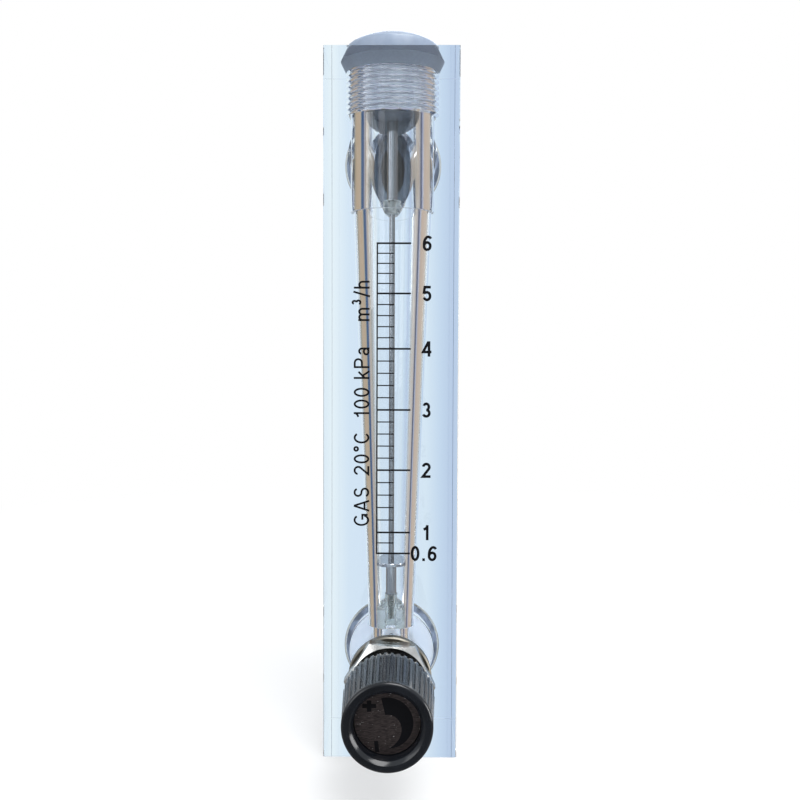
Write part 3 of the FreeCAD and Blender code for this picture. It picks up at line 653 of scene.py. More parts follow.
# ---- stage ----
def world():
    """White to the camera; the clear pieces see tan, blue and grey bands by direction."""
    made = bpy.data.worlds.new("world")
    bpy.context.scene.world = made
    made.use_nodes = True
    made.node_tree.nodes.clear()
    graph = Nodes(made.node_tree)
    camera_ray, glossy, transmitted, mirrored, crossings = graph.rays(
        "Is Camera Ray", "Is Glossy Ray", "Is Transmission Ray", "Glossy Depth", "Transmission Depth"
    )
    white = graph.node("Background", Color=(1, 1, 1, 1))
    faint = graph.node("Background", Color=(0.84, 0.91, 0.97, 1))
    sideways, depthwise, upward = graph.parts(graph.node("TexCoord"))
    height = graph.spread(upward, 0.0, 1.0, -1.0, 1.0)
    rise = graph.ramp(
        height,
        (0.0, (0.30, 0.30, 0.30)),
        (0.42, (0.34, 0.34, 0.34)),
        (0.60, (0.80, 0.84, 0.88)),
        (1.0, (0.90, 0.95, 1.0)),
    )
    ahead = graph.spread(depthwise, 0.42, 1.0, -1.0, -0.55)
    plain = graph.node("Background", Color=rise, Strength=ahead)
    even = graph.node("Background", Color=(0.9, 0.95, 1.0, 1), Strength=0.75)
    # zero looks straight to the front and one straight to the rear
    rearward = graph.spread(depthwise, 0.0, 1.0, -1.0, 1.0)
    left = graph.ramp(
        rearward,
        (0.0, (0.86, 0.95, 1.0)),
        (0.10, (0.86, 0.95, 1.0)),
        (0.13, (0.62, 0.68, 0.75)),
        (0.27, (0.58, 0.64, 0.72)),
        (0.31, (0.34, 0.33, 0.35)),
        (0.42, (0.38, 0.37, 0.39)),
        (0.44, (0.045, 0.085, 0.21)),
        (0.55, (0.055, 0.12, 0.22)),
        (0.58, (0.42, 0.38, 0.31)),
        (0.66, (0.48, 0.38, 0.28)),
        (0.86, (0.46, 0.37, 0.27)),
        (0.97, (0.22, 0.22, 0.18)),
        (1.0, (0.16, 0.16, 0.12)),
    )
    right = graph.ramp(
        rearward,
        (0.0, (0.86, 0.95, 1.0)),
        (0.13, (0.86, 0.95, 1.0)),
        (0.17, (0.46, 0.44, 0.41)),
        (0.36, (0.46, 0.44, 0.41)),
        (0.42, (0.34, 0.34, 0.36)),
        (0.44, (0.09, 0.10, 0.16)),
        (0.50, (0.10, 0.12, 0.20)),
        (0.53, (0.40, 0.44, 0.60)),
        (0.58, (0.44, 0.42, 0.42)),
        (0.64, (0.54, 0.44, 0.37)),
        (0.90, (0.56, 0.48, 0.40)),
        (1.0, (0.48, 0.46, 0.42)),
    )
    level = graph.blend(graph.math("GREATER_THAN", sideways, 0.0), left, right)
    steep = graph.math("GREATER_THAN", graph.math("ABSOLUTE", upward), 0.5)
    slanted = graph.ramp(height, (0.4, (0.42, 0.46, 0.62)), (0.6, (0.80, 0.86, 0.95)))
    side = graph.node("Background", Color=graph.blend(steep, level, slanted))
    bounced = graph.math("GREATER_THAN", mirrored, 0.5)
    # four crossings or more: through the block and one of its bores
    bored = graph.math("GREATER_THAN", crossings, 3.5)
    through = graph.mixed(graph.math("MAXIMUM", bounced, bored), faint, side)
    around = graph.mixed(glossy, even, plain)
    indirect = graph.mixed(transmitted, around, through)
    graph.finish("ShaderNodeOutputWorld", graph.mixed(camera_ray, indirect, white))


def floor():
    """Pale floor that fades to the white of the background away from the object."""
    material, graph = bare_material("floor")
    ground = graph.node("BsdfDiffuse", Color=(0.9, 0.9, 0.9, 1))
    white = graph.node("Emission", Color=(1, 1, 1, 1))
    distance = graph.node("VectorMath", 1, (("operation", "LENGTH"),), Vector=graph.place())
    fade = graph.spread(distance, 0.5, 1.0, 0.05, 0.5)
    (seen,) = graph.rays("Is Camera Ray")
    graph.finish("ShaderNodeOutputMaterial", graph.mixed(graph.math("MULTIPLY", fade, seen), ground, white))
    half = 3000.0
    level = -0.05
    corners = [(-half, -half, level), (half, -half, level), (half, half, level), (-half, half, level)]
    piece = mesh_object("floor", corners, [(0, 1, 2, 3)])
    material.cycles.emission_sampling = "NONE"
    piece.data.materials.append(material)
    piece.visible_transmission = False
    piece.visible_glossy = False


def show_only_through_glass(piece):
    """The clear pieces show it, and nothing else does."""
    piece.visible_camera = False
    piece.visible_diffuse = False
    piece.visible_shadow = False


def rear_card():
    """Pale card close behind the block that only the clear pieces show; open round the two ports."""
    reach = HALF_WIDTH + 0.5
    card = box_object("rear_card", (-reach, REAR + 0.2, -0.4), (reach, REAR + 0.4, HEIGHT + 0.1))
    opening = PORT_HOLE / 2 + PORT_FLARE + 0.03
    holes = []
    for _, level in PORTS:
        holes.append(on_rear_axis(stepped("hole", (opening, 0), (opening, 9)), level))
    cut(card, *holes)
    material, graph = bare_material("card")
    across = graph.node("SeparateXYZ", 0, Vector=graph.place())
    shade = graph.ramp(
        graph.spread(across, 0.0, 1.0, -HALF_WIDTH * MM, HALF_WIDTH * MM),
        (0.0, (0.83, 0.93, 0.98)),
        (0.14, (0.69, 0.82, 0.945)),
        (0.5, (0.65, 0.78, 0.935)),
        (0.78, (0.70, 0.83, 0.94)),
        (0.9, (0.57, 0.71, 0.88)),
        (1.0, (0.49, 0.61, 0.80)),
    )
    glow = graph.node("Emission", Color=shade)
    (transmitted,) = graph.rays("Is Transmission Ray")
    graph.finish("ShaderNodeOutputMaterial", graph.mixed(transmitted, graph.node("BsdfTransparent"), glow))
    material.cycles.emission_sampling = "NONE"
    card.data.materials.clear()
    card.data.materials.append(material)
    card.visible_glossy = False
    show_only_through_glass(card)


def bore_shades():
    """Dark discs behind the fittings' open ends, where the pipes would be."""
    material, graph = bare_material("bore_shade")
    graph.finish("ShaderNodeOutputMaterial", graph.node("Emission", Color=(0.012, 0.014, 0.018, 1)))
    material.cycles.emission_sampling = "NONE"
    low = FITTING_END + 0.4
    high = low + 0.3
    radius = 10
    for side, level in PORTS:
        disc = stepped(f"{side}_shade", (radius, low), (radius, high), steps=64)
        shade = on_rear_axis(disc, level)
        shade.data.materials.append(material)
        show_only_through_glass(shade)


# ---- dressing ----
MATERIALS = {}


def dress(piece, body, slot, *replaced):
    """Gives a made piece its material, its body and the nodes that it stands for."""
    smooth(piece.data, 30)
    piece.data.materials.clear()
    piece.data.materials.append(MATERIALS[slot])
    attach(piece, body)
    if replaced:
        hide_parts(*replaced)
    return piece


# ---- the clear block, its plug and the squeezed seals ----
def clear_block():
    block = box_object("clear_block", (-HALF_WIDTH, FRONT, 0), (HALF_WIDTH, REAR, HEIGHT))
    shape = bmesh.new()
    shape.from_mesh(block.data)
    # a skin's thickness inside the CAD block, so that nothing passes its box
    middle = Vector((0, 0, HEIGHT / 2 * MM))
    for vertex in shape.verts:
        vertex.co -= Vector([math.copysign(SKIN * MM, gap) for gap in vertex.co - middle])
    front = [e for e in shape.edges if all(v.co.y < 0 for v in e.verts)]
    upright = [e for e in front if abs(e.verts[0].co.z - e.verts[1].co.z) > MM]
    bmesh.ops.bevel(shape, geom=upright, offset=CORNER * MM, segments=1, affect="EDGES", profile=0.5)
    square = [e for e in shape.edges if e.calc_face_angle() > math.radians(60)]
    bmesh.ops.bevel(shape, geom=square, offset=EDGE * MM, segments=1, affect="EDGES", profile=0.5)
    shape.to_mesh(block.data)
    shape.free()

    mouth = HEIGHT - MOUTH_DEPTH
    core = PLUG_THREAD / 2 - PLUG_THREAD_DEPTH - 0.3
    metering = stepped(
        "metering",
        (FEED_BORE / 2, VALVE_LEVEL),
        (FEED_BORE / 2, TUBE_BOTTOM - SKIN),
        (TUBE_BOTTOM_BORE / 2, TUBE_BOTTOM - SKIN),
        (TUBE_TOP_BORE / 2, TUBE_TOP),
        (CHAMBER_BORE / 2, TUBE_TOP),
        (CHAMBER_BORE / 2, SEAT),
        (core, SEAT),
        (core, mouth),
        (PLUG_THREAD / 2, mouth),
        (PLUG_THREAD / 2 + MOUTH_FLARE, HEIGHT),
        (PLUG_THREAD / 2 + MOUTH_FLARE, HEIGHT + 1),
    )
    port_floor = DEPTH - PORT_DEPTH
    seat_depth = port_floor - SEAT_WEB
    # heights here run inward from the front face
    valve = stepped(
        "valve",
        (VALVE_HOLE / 2 + VALVE_FLARE, -1),
        (VALVE_HOLE / 2 + VALVE_FLARE, 0),
        (VALVE_HOLE / 2, VALVE_MOUTH),
        (VALVE_HOLE / 2, VALVE_HOLE_DEPTH),
        (VALVE_CHAMBER / 2, VALVE_HOLE_DEPTH),
        (VALVE_CHAMBER / 2, seat_depth),
        (SEAT_BORE / 2 + SEAT_CHAMFER, seat_depth),
        (SEAT_BORE / 2, seat_depth + SEAT_CHAMFER),
        (SEAT_BORE / 2, port_floor),
        (PORT_HOLE / 2, port_floor),
        (PORT_HOLE / 2, DEPTH - PORT_MOUTH),
        (PORT_HOLE / 2 + PORT_FLARE, DEPTH),
        (PORT_HOLE / 2 + PORT_FLARE, DEPTH + 1),
    )
    outlet = stepped(
        "outlet",
        (PORT_HOLE / 2, -REAR),
        (PORT_HOLE / 2, -PORT_MOUTH),
        (PORT_HOLE / 2 + PORT_FLARE, 0),
        (PORT_HOLE / 2 + PORT_FLARE, 1),
    )
    cut(
        block,
        metering,
        threaded_rod("plug_thread", PLUG_THREAD / 2, PLUG_THREAD_DEPTH, PLUG_PITCH, SEAT, mouth + 0.01),
        moved(valve, -90, FRONT, VALVE_LEVEL),
        on_rear_axis(outlet, OUTLET_LEVEL),
    )
    dress(block, "meter", "acrylic", "meter_block")


CROWN_HEIGHT = 2.6
CROWN_INSET = 4.6
SLOT_WIDTH = 3.0
SLOT_DEPTH = 2.6


def threaded_plug():
    """Plug with a rounded crown, a driver slot, a neck for its seal and a helical thread."""
    mouth = HEIGHT - MOUTH_DEPTH
    radius = PLUG_THREAD / 2 - THREAD_GAP
    shoulder = HEAD_TOP - CROWN_HEIGHT
    # the foot stands just off its seat, so that the two clear faces don't coincide
    plug = threaded_rod("threaded_plug", radius, PLUG_THREAD_DEPTH, PLUG_PITCH, SEAT + PLUG_LIFT, mouth)
    head = stepped(
        "head",
        (HEAD_RADIUS - CROWN_INSET - 0.4, HEAD_TOP),
        (HEAD_RADIUS - CROWN_INSET + 0.35, HEAD_TOP - 0.12),
        (HEAD_RADIUS - CROWN_INSET / 2 + 0.25, HEAD_TOP - CROWN_HEIGHT / 2 + 0.3),
        (HEAD_RADIUS - 0.5, shoulder + 0.5),
        (HEAD_RADIUS - 0.12, shoulder),
        (HEAD_RADIUS, shoulder - 0.5),
        (HEAD_RADIUS, HEIGHT + SKIN),
        (PLUG_NECK / 2, HEIGHT + SKIN),
        (PLUG_NECK / 2, mouth - 1),
        sharp_angle=40,
    )
    joined(plug, head)
    sleeve_top = SEAT + SLEEVE_INSERT
    socket = stepped(
        "socket",
        (SLEEVE / 2 + PRESS_GAP, SEAT - 1),
        (SLEEVE / 2 + PRESS_GAP, sleeve_top),
        (ROD / 2 + PRESS_GAP, sleeve_top),
        (ROD / 2 + PRESS_GAP, ROD_TOP),
    )
    slot_low = (-HALF_WIDTH, -SLOT_WIDTH / 2, HEAD_TOP - SLOT_DEPTH)
    slot = box_object("slot", slot_low, (HALF_WIDTH, SLOT_WIDTH / 2, HEAD_TOP + 1))
    cut(plug, socket, slot)
    dress(plug, "meter", "plug_acrylic", "top_plug")


CONTACT = 0.025


def squeezed_seal(name, hole, flare, mouth, neck):
    """Seal pressed into a cone-shaped mouth; heights run outward from the face that carries it."""
    inner = neck / 2 + 0.02
    outer = hole / 2 + CONTACT
    foot = -mouth + 0.03
    return turned(name, [(inner, foot), (outer, foot), (outer + flare, -0.02), (inner, -0.01)])


def seals():
    plug = squeezed_seal("plug_ring", PLUG_THREAD, MOUTH_FLARE, MOUTH_DEPTH, PLUG_NECK)
    dress(moved(plug, 0, 0, HEIGHT), "meter", "seal_rubber", "plug_seal")
    valve = squeezed_seal("valve_ring", VALVE_HOLE, VALVE_FLARE, VALVE_MOUTH, VALVE_NECK)
    dress(on_valve_axis(valve), "meter", "seal_rubber", "valve_body_seal")
    for side, level in PORTS:
        ring = squeezed_seal(f"{side}_ring", PORT_HOLE, PORT_FLARE, PORT_MOUTH, PORT_NECK)
        dress(on_rear_axis(ring, level), "meter", "seal_rubber", f"{side}_seal")


# ---- the rear fittings ----
PORT_NECK = 21.4
FITTING_BORE = 15.0
FITTING_INSERT = 6.0
FLANGE_THICKNESS = 3.0
FLANGE_BEVEL = 0.3
FITTING_HEX = 26.0
FITTING_HEX_END = 8.0
PANEL_THREAD = 22.0
PANEL_THREAD_END = 20.0
PIPE_THREAD = 20.9
METAL_PITCH = 1.5
METAL_THREAD_DEPTH = 0.75


def rear_fitting(side, level):
    """Nipple: threaded insert, seal neck, flange, hexagon, the panel nut's thread and the pipe thread."""
    insert = PORT_HOLE / 2 - THREAD_GAP
    run_out = 1.2
    fitting = threaded_rod(
        f"{side}_nipple", insert, METAL_THREAD_DEPTH, METAL_PITCH, -FITTING_INSERT, -PORT_MOUTH, 144
    )
    flange = stepped(
        "flange",
        (PORT_NECK / 2, -PORT_MOUTH - 1),
        (PORT_NECK / 2, 0),
        (FLANGE_RADIUS - FLANGE_BEVEL, 0),
        (FLANGE_RADIUS, FLANGE_BEVEL),
        (FLANGE_RADIUS, FLANGE_THICKNESS - FLANGE_BEVEL),
        (FLANGE_RADIUS - FLANGE_BEVEL, FLANGE_THICKNESS),
    )
    hexagonal = hexagon("hex", FITTING_HEX, FLANGE_THICKNESS - 0.5, FITTING_HEX_END, turn=0)
    run_out_root = PANEL_THREAD / 2 - METAL_THREAD_DEPTH
    run_out_end = FITTING_HEX_END + run_out
    neck = stepped("neck", (run_out_root, FITTING_HEX_END - 1), (run_out_root, run_out_end + 0.5))

    def thread(name, size, low, high):
        return threaded_rod(name, size / 2, METAL_THREAD_DEPTH, METAL_PITCH, low, high, 144)

    panel = thread("panel_thread", PANEL_THREAD, run_out_end, PANEL_THREAD_END)
    pipe = thread("pipe_thread", PIPE_THREAD, PANEL_THREAD_END - 0.5, FITTING_END)
    chamfer = 1.0
    envelope = stepped(
        "end_chamfer",
        (PIPE_THREAD / 2 + 1, PANEL_THREAD_END - 1),
        (PIPE_THREAD / 2 + 1, FITTING_END - chamfer - 1),
        (PIPE_THREAD / 2 - chamfer, FITTING_END),
    )
    common(pipe, envelope)
    joined(fitting, flange, hexagonal, neck, panel, pipe)
    bore = stepped(
        "bore",
        (FITTING_BORE / 2 + 1.4, -FITTING_INSERT - 1),
        (FITTING_BORE / 2, -FITTING_INSERT + 0.4),
        (FITTING_BORE / 2, FITTING_END - 0.5),
        (FITTING_BORE / 2 + 1.5, FITTING_END + 1),
    )
    cut(fitting, bore)
    dress(on_rear_axis(fitting, level), "meter", "plated_brass", f"{side}_fitting")


# ---- the valve ----
VALVE_NECK = 14.8
VALVE_SHANK_END = 11.0
WASHER_THICKNESS = 2.2
VALVE_HEX = 22.0
VALVE_HEX_FRONT = 7.7
VALVE_HEX_TURN = -3.6
COLLAR = 13.0
COLLAR_FRONT = 9.2
GLAND_BORE = 10.2
GLAND_DEPTH = 3.0
STEM_HOLE = 8.1


def bonnet():
    """Valve body: hexagon with turned bevels, collar, threaded shank with a neck, gland bore."""
    shank = VALVE_HOLE / 2 - THREAD_GAP
    piece = threaded_rod("bonnet", shank, 0.6, 1.0, -VALVE_SHANK_END, -VALVE_MOUTH, 144)
    middle = stepped(
        "middle",
        (VALVE_NECK / 2, -VALVE_MOUTH - 1),
        (VALVE_NECK / 2, 0),
        (shank, 0),
        (shank, VALVE_HEX_FRONT - 1),
        (COLLAR / 2, VALVE_HEX_FRONT - 1),
        (COLLAR / 2, COLLAR_FRONT - 0.3),
        (COLLAR / 2 - 0.3, COLLAR_FRONT),
    )
    hexagonal = hexagon(
        "hex", VALVE_HEX, WASHER_THICKNESS + SKIN, VALVE_HEX_FRONT, turn=VALVE_HEX_TURN, bevel_low=True
    )
    joined(piece, middle, hexagonal)
    hollow = stepped(
        "hollow",
        (GLAND_BORE / 2, -VALVE_SHANK_END - 1),
        (GLAND_BORE / 2, -GLAND_DEPTH),
        (STEM_HOLE / 2, -GLAND_DEPTH),
        (STEM_HOLE / 2, COLLAR_FRONT + 1),
    )
    cut(piece, hollow)
    dress(on_valve_axis(piece), "meter", "plated_brass", "valve_body")


KNOB_BACK_RADIUS = 12.2
KNOB_FRONT_RADIUS = 11.3
KNOB_EDGE = 0.5
RIM_LENGTH = 1.3
RIM_ROUND = 0.9
KNOB_MOUTH = 9.2
KNOB_RECESS = 8.4
MOUTH_BEVEL = 0.8
RECESS_DEPTH = 4.3
KNOB_FLOOR = 2.0
KNOB_CAVITY = 8.6
KNOB_HUB = 5.5
HUB_INSET = 3.3
SCREW_HEAD_HOLE = 3.6
SCREW_HEAD_DEPTH = 2.3
SCREW_HOLE = 1.7
SPIGOT_HOLE = 3.03
SPIGOT_DEPTH = 3.8
RIBS = 42
GROOVE_RADIUS = 0.5
GROOVE_RISE = 0.05
STEPS_PER_RIB = 20


def ribbed_knob():
    """Knob with round-ended grooves on its taper, a rounded rim, a bevelled recess and a hollow back."""
    rim_start = KNOB_FRONT - RIM_LENGTH
    groove_end = rim_start - GROOVE_RADIUS
    recess_floor = KNOB_FRONT - RECESS_DEPTH
    cavity_top = recess_floor - KNOB_FLOOR
    hub_back = KNOB_BACK + HUB_INSET
    slope = (KNOB_FRONT_RADIUS - KNOB_BACK_RADIUS) / (rim_start - KNOB_BACK)
    spacing = 2 * math.pi / RIBS

    def wall(height):
        return KNOB_BACK_RADIUS + slope * (height - KNOB_BACK)

    def groove(angle, radius, height):
        if radius < KNOB_FRONT_RADIUS - 0.05 or height >= rim_start:
            return 0.0
        across = radius * ((angle - math.pi / 2 + spacing / 2) % spacing - spacing / 2)
        past = max(0.0, height - groove_end)
        under = GROOVE_RADIUS**2 - across**2 - past**2
        return max(0.0, math.sqrt(max(under, 0.0)) - GROOVE_RISE)

    heights = [KNOB_BACK + 2, KNOB_BACK + 6, KNOB_BACK + 10, groove_end - 2, groove_end]
    round_end = np.radians([12, 24, 36, 48, 58, 67, 75, 82])
    heights += [groove_end + GROOVE_RADIUS * math.sin(a) for a in round_end]
    rim = arc((KNOB_FRONT_RADIUS - RIM_ROUND, KNOB_FRONT - RIM_ROUND), RIM_ROUND, 0, 90, 9)
    profile = [
        (KNOB_CAVITY, KNOB_BACK),
        (KNOB_BACK_RADIUS - KNOB_EDGE, KNOB_BACK),
        (KNOB_BACK_RADIUS - 0.15, KNOB_BACK + 0.15),
        (wall(KNOB_BACK + KNOB_EDGE), KNOB_BACK + KNOB_EDGE),
        *[(wall(height), height) for height in heights],
        (KNOB_FRONT_RADIUS, rim_start),
        *rim,
        (KNOB_MOUTH + 0.12, KNOB_FRONT),
        (KNOB_MOUTH, KNOB_FRONT - 0.1),
        (KNOB_RECESS + 0.08, KNOB_FRONT - MOUTH_BEVEL + 0.05),
        (KNOB_RECESS, KNOB_FRONT - MOUTH_BEVEL - 0.1),
        (KNOB_RECESS, recess_floor),
        (SCREW_HEAD_HOLE, recess_floor),
        (SCREW_HEAD_HOLE, recess_floor - SCREW_HEAD_DEPTH),
        (SCREW_HOLE, recess_floor - SCREW_HEAD_DEPTH),
        (SCREW_HOLE, recess_floor - SPIGOT_DEPTH),
        (SPIGOT_HOLE, recess_floor - SPIGOT_DEPTH),
        (SPIGOT_HOLE, hub_back),
        (KNOB_HUB - 0.3, hub_back),
        (KNOB_HUB, hub_back + 0.3),
        (KNOB_HUB, cavity_top),
        (KNOB_CAVITY, cavity_top),
    ]
    piece = turned("ribbed_knob", profile, RIBS * STEPS_PER_RIB, depth=groove)
    dress(on_valve_axis(piece), "valve_knob", "knob_plastic", "knob")


# ---- printed scale ----
PRINT_HEIGHT = 0.02
SCALE_LEVELS = {0.6: 58.58, 1: 64.52, 2: 82.18, 3: 99.15, 4: 116.27, 5: 131.70, 6: 145.62}
SCALE_LINE = -3.87
SCALE_LINE_WIDTH = 0.40
MAJOR_WIDTH = 0.50
MINOR_WIDTH = 0.33
MINOR_STEP = 0.2
MINOR_END = 0.90
MAJOR_END = 5.53
NUMBER_CENTRE = 10.0
NUMBER_HEIGHT = 4.3
NUMBER_STROKE = 0.175
NOTE_CENTRE = -8.2
NOTE_HEIGHT = 4.4
NOTE_STROKE = 0.125
LETTER_GAP = 0.17


def bow(x, y, across, up, start, end, count=25):
    """Points on part of an ellipse, between two angles in degrees."""
    angles = np.radians(np.linspace(start, end, count))
    return [(x + across * math.cos(a), y + up * math.sin(a)) for a in angles]


def band(name, line, width, low, high):
    """Flat strip of constant width along (x, y) points, closed where the line ends at its start."""
    points = np.array(line, float)
    closed = np.allclose(points[0], points[-1])
    if closed:
        points = points[:-1]
    before, after = np.roll(points, 1, 0), np.roll(points, -1, 0)
    if not closed:
        before[0] = 2 * points[0] - points[1]
        after[-1] = 2 * points[-1] - points[-2]

    def unit(vectors):
        return vectors / np.linalg.norm(vectors, axis=1)[:, None]

    arriving = unit(points - before)
    middle = unit(arriving + unit(after - points))
    side = np.c_[-middle[:, 1], middle[:, 0]]
    lean = (side * np.c_[-arriving[:, 1], arriving[:, 0]]).sum(1)
    offset = side * (width / 2 / lean)[:, None]
    count = len(points)
    rims = [(points + offset, low), (points - offset, low), (points - offset, high), (points + offset, high)]
    vertices = [(x, y, level) for rim, level in rims for x, y in rim]
    faces = []
    for i in range(count if closed else count - 1):
        j = (i + 1) % count
        for k in range(4):
            m = (k + 1) % 4
            faces.append((k * count + i, k * count + j, m * count + j, m * count + i))
    if not closed:
        faces.append(tuple(k * count for k in range(4)))
        faces.append(tuple(k * count + count - 1 for k in range(4)))
    return mesh_object(name, vertices, faces)


def sign_strokes(sign, stroke):
    """Width of a sign of unit capital height, and its strokes' centre lines."""
    half = stroke / 2
    top = 1 - half
    small = 0.72 - half
    lobe = (0.5 - half) / 2
    signs = {
        "0": (0.58, [bow(0.29, 0.5, 0.29 - half, top - 0.5, 0, 360, 49)]),
        "1": (0.42, [[(0.30, 0), (0.30, 1)], [(0.30, 0.88), (0.20, 0.77), (0.06, 0.70)]]),
        "2": (0.58, [
            bow(0.30, 0.71, 0.29 - half, 0.29 - half, 172, -38) + [(half * 0.9, half), (0.58, half)],
        ]),
        "3": (0.58, [
            bow(0.28, 0.5 + lobe, 0.25 - half, lobe, 160, -90),
            bow(0.28, 0.5 - lobe, 0.29 - half, lobe, 90, -160),
        ]),
        "4": (0.62, [[(0.46, 0), (0.46, 1)], [(0.43, 0.97), (half * 0.9, 0.3), (0.62, 0.3)]]),
        "5": (0.58, [
            [(0.54, top), (0.15, top), (0.09, 0.47)],
            bow(0.29, 0.335, 0.29 - half, 0.335 - half, 138, -160),
        ]),
        "6": (0.58, [
            bow(0.29, 0.32, 0.29 - half, 0.32 - half, 0, 360, 49),
            bow(0.36, 0.42, 0.36 - half, top - 0.42, 188, 50),
        ]),
        ".": (0.20, [[(0.10, 0), (0.10, stroke * 1.05)]]),
        "A": (0.74, [[(0.05, 0), (0.37, 0.98)], [(0.69, 0), (0.37, 0.98)], [(0.15, 0.3), (0.59, 0.3)]]),
        "C": (0.72, [bow(0.37, 0.5, 0.37 - half, top - 0.5, 42, 318, 41)]),
        "G": (0.76, [
            bow(0.38, 0.5, 0.38 - half, top - 0.5, 42, 335, 41),
            [(0.40, 0.44), (0.72, 0.44), (0.72, 0.1)],
        ]),
        "S": (0.64, [
            bow(0.32, 0.5 + lobe, 0.29 - half, lobe, 20, 270),
            bow(0.32, 0.5 - lobe, 0.31 - half, lobe, 90, -160),
        ]),
        "P": (0.64, [
            [(half, 0), (half, 1)],
            [(half, top)] + bow(0.34, 0.71, 0.29 - half, top - 0.71, 90, -90) + [(half, 1.42 - top)],
        ]),
        "k": (0.52, [[(half, 0), (half, 1)], [(0.46, 0.70), (half, 0.30)], [(0.20, 0.44), (0.50, 0)]]),
        "a": (0.52, [
            bow(0.25, 0.21, 0.25 - half, 0.21 - half, 0, 360, 41),
            [(0.50 - half, 0), (0.50 - half, 0.48)],
            bow(0.27, 0.48, 0.23 - half, small - 0.48, 0, 165),
        ]),
        "m": (0.84, [
            [(half, 0), (half, 0.72)],
            bow((half + 0.42) / 2, 0.46, (0.42 - half) / 2, small - 0.46, 180, 0) + [(0.42, 0)],
            bow(0.63 - half / 2, 0.46, 0.21 - half / 2, small - 0.46, 180, 0) + [(0.84 - half, 0)],
        ]),
        "h": (0.50, [
            [(half, 0), (half, 1)],
            bow(0.25, 0.44, 0.25 - half, small - 0.44, 180, 0) + [(0.50 - half, 0)],
        ]),
        "/": (0.34, [[(0.02, -0.03), (0.32, 1.03)]]),
        "\N{DEGREE SIGN}": (0.36, [bow(0.18, 0.84, 0.18 - half, 0.18 - half, 0, 360, 33)]),
        " ": (0.22, []),
    }
    if sign == "\N{SUPERSCRIPT THREE}":
        size = 0.62
        raised = 0.52
        width, strokes = sign_strokes("3", stroke / size)
        return width * size, [[(x * size, raised + y * size) for x, y in line] for line in strokes]
    return signs[sign]


def print_words(sheet, words, height, stroke, centre, upright=True):
    """Adds words to a printed sheet, centred at (x, z); sideways words read from the bottom up."""
    laid = [sign_strokes(sign, stroke) for sign in words]
    length = sum(width for width, _ in laid) + LETTER_GAP * (len(laid) - 1)
    start = -length / 2
    for width, strokes in laid:
        for line in strokes:
            flat = [((start + x) * height, (y - 0.5) * height) for x, y in line]
            if upright:
                placed = [(centre[0] + x, centre[1] + y) for x, y in flat]
            else:
                placed = [(centre[0] - y, centre[1] + x) for x, y in flat]
            joined(sheet, band("stroke", placed, stroke * height, 0, PRINT_HEIGHT))
        start += width + LETTER_GAP


def printed_scale():
    """Upright line, a long mark at each number and short ones that divide the steps evenly, with notes."""
    values = sorted(SCALE_LEVELS)
    foot, top = SCALE_LEVELS[values[0]], SCALE_LEVELS[values[-1]]
    half = MAJOR_WIDTH / 2
    line = [(SCALE_LINE, foot - half), (SCALE_LINE, top + half)]
    sheet = band("scale_print", line, SCALE_LINE_WIDTH, 0, PRINT_HEIGHT)
    marks = [(level, MAJOR_END, MAJOR_WIDTH) for level in SCALE_LEVELS.values()]
    for low, high in zip(values, values[1:]):
        parts = round((high - low) / MINOR_STEP)
        step = (SCALE_LEVELS[high] - SCALE_LEVELS[low]) / parts
        marks += [(SCALE_LEVELS[low] + step * part, MINOR_END, MINOR_WIDTH) for part in range(1, parts)]
    for level, end, width in marks:
        joined(sheet, band("mark", [(SCALE_LINE, level), (end, level)], width, 0, PRINT_HEIGHT))
    for value, level in SCALE_LEVELS.items():
        shift = -0.6 if value < 1 else 0.0
        print_words(sheet, f"{value}", NUMBER_HEIGHT, NUMBER_STROKE, (NUMBER_CENTRE + shift, level))
    notes = {
        "GAS": 71.8,
        "20\N{DEGREE SIGN}C": 86.8,
        "100 kPa": 106.8,
        "m\N{SUPERSCRIPT THREE}/h": 129.6,
    }
    for words, level in notes.items():
        print_words(sheet, words, NOTE_HEIGHT, NOTE_STROKE, (NOTE_CENTRE, level), upright=False)
    dress(moved(sheet, 90, FRONT), "meter", "acrylic")
    sheet.data.materials[0] = MATERIALS["ink"]


CRESCENT_CENTRE = (0.0, -0.3)
CRESCENT_RADIUS = 6.42
CRESCENT_WIDTH = 4.36
CRESCENT_START = 104
CRESCENT_SWEEP = 192
CRESCENT_TAPER = 2.2


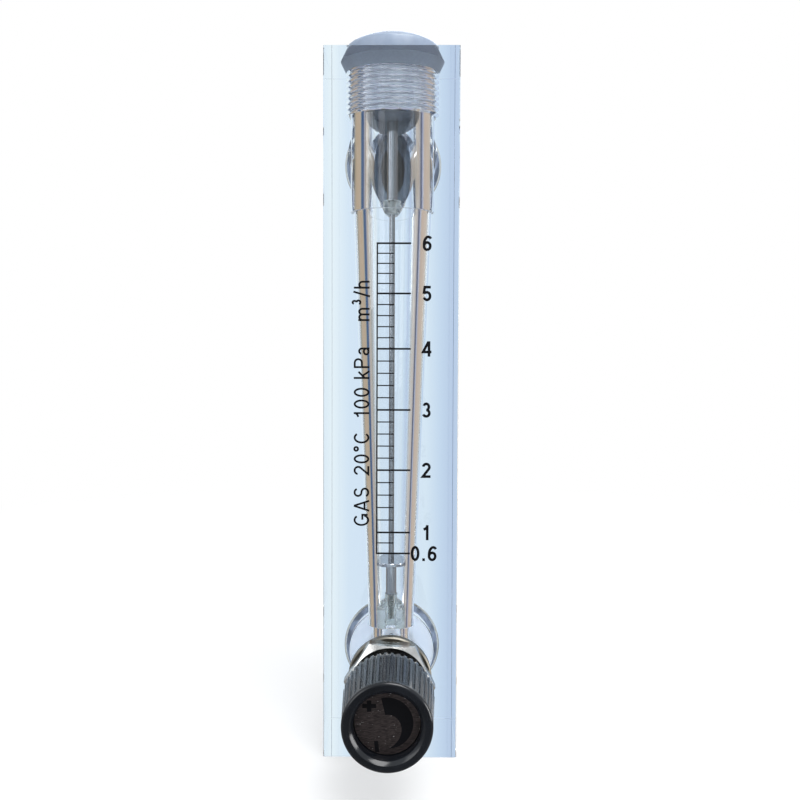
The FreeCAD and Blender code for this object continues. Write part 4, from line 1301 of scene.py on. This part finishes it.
def disc_print():
    """Plus, minus and a tapering crescent on the knob's disc."""
    low = DISC_FACE
    high = DISC_FACE + PRINT_HEIGHT
    steps = 48

    def spot(radius, share):
        angle = math.radians(CRESCENT_START - CRESCENT_SWEEP * share)
        return CRESCENT_CENTRE[0] + radius * math.cos(angle), CRESCENT_CENTRE[1] + radius * math.sin(angle)

    shares = [i / steps for i in range(steps + 1)]
    outer = [spot(CRESCENT_RADIUS, share) for share in shares]
    inner = [
        spot(CRESCENT_RADIUS - CRESCENT_WIDTH * (1 - share**CRESCENT_TAPER), share) for share in shares[:-1]
    ]
    crescent = prism("disc_print", outer + inner[::-1], low, high)
    plus = [(-6.2, 3.45), (-5.05, 3.45), (-5.05, 2.5), (-3.95, 2.5), (-3.95, 3.45), (-2.8, 3.45),
            (-2.8, 4.5), (-3.95, 4.5), (-3.95, 5.3), (-5.05, 5.3), (-5.05, 4.5), (-6.2, 4.5)]
    minus = [(-3.3, -4.8), (-2.3, -4.8), (-1.95, -7.6), (-2.95, -7.6)]
    joined(crescent, prism("plus", plus, low, high), prism("minus", minus, low, high))
    dress(on_valve_axis(crescent), "valve_knob", "disc_metal")
    crescent.data.materials[0] = MATERIALS["ink"]


def dressed():
    """Gives each node that still shows its material."""
    for part in frame["record"]["subparts"]:
        node = NODES[part["node"]]
        node.data.materials.clear()
        node.data.materials.append(MATERIALS[part["material_slot"]])
    NODES["bezel_washer"].data.materials[0] = MATERIALS["washer_metal"]


def light_bounces():
    """The clear pieces need long paths, because light crosses and mirrors in them many times."""
    cycles = bpy.context.scene.cycles
    cycles.max_bounces = 32
    cycles.transmission_bounces = 28
    cycles.glossy_bounces = 16
    cycles.transparent_max_bounces = 16


MATERIALS.update(
    {
        "acrylic": acrylic(),
        "plug_acrylic": plug_acrylic(),
        "seal_rubber": rubber(),
        "steel": steel("steel", 0.30),
        "float_steel": steel("float_steel", 0.42),
        "guide_nylon": nylon(),
        "plated_brass": nickel(),
        "knob_plastic": knob_plastic(),
        "disc_metal": brushed_disc(),
        "ink": ink(),
        "washer_metal": washer_metal(),
    }
)
lamps()
world()
floor()
rear_card()
bore_shades()
clear_block()
threaded_plug()
seals()
for side, level in PORTS:
    rear_fitting(side, level)
bonnet()
ribbed_knob()
printed_scale()
disc_print()
dressed()
light_bounces()
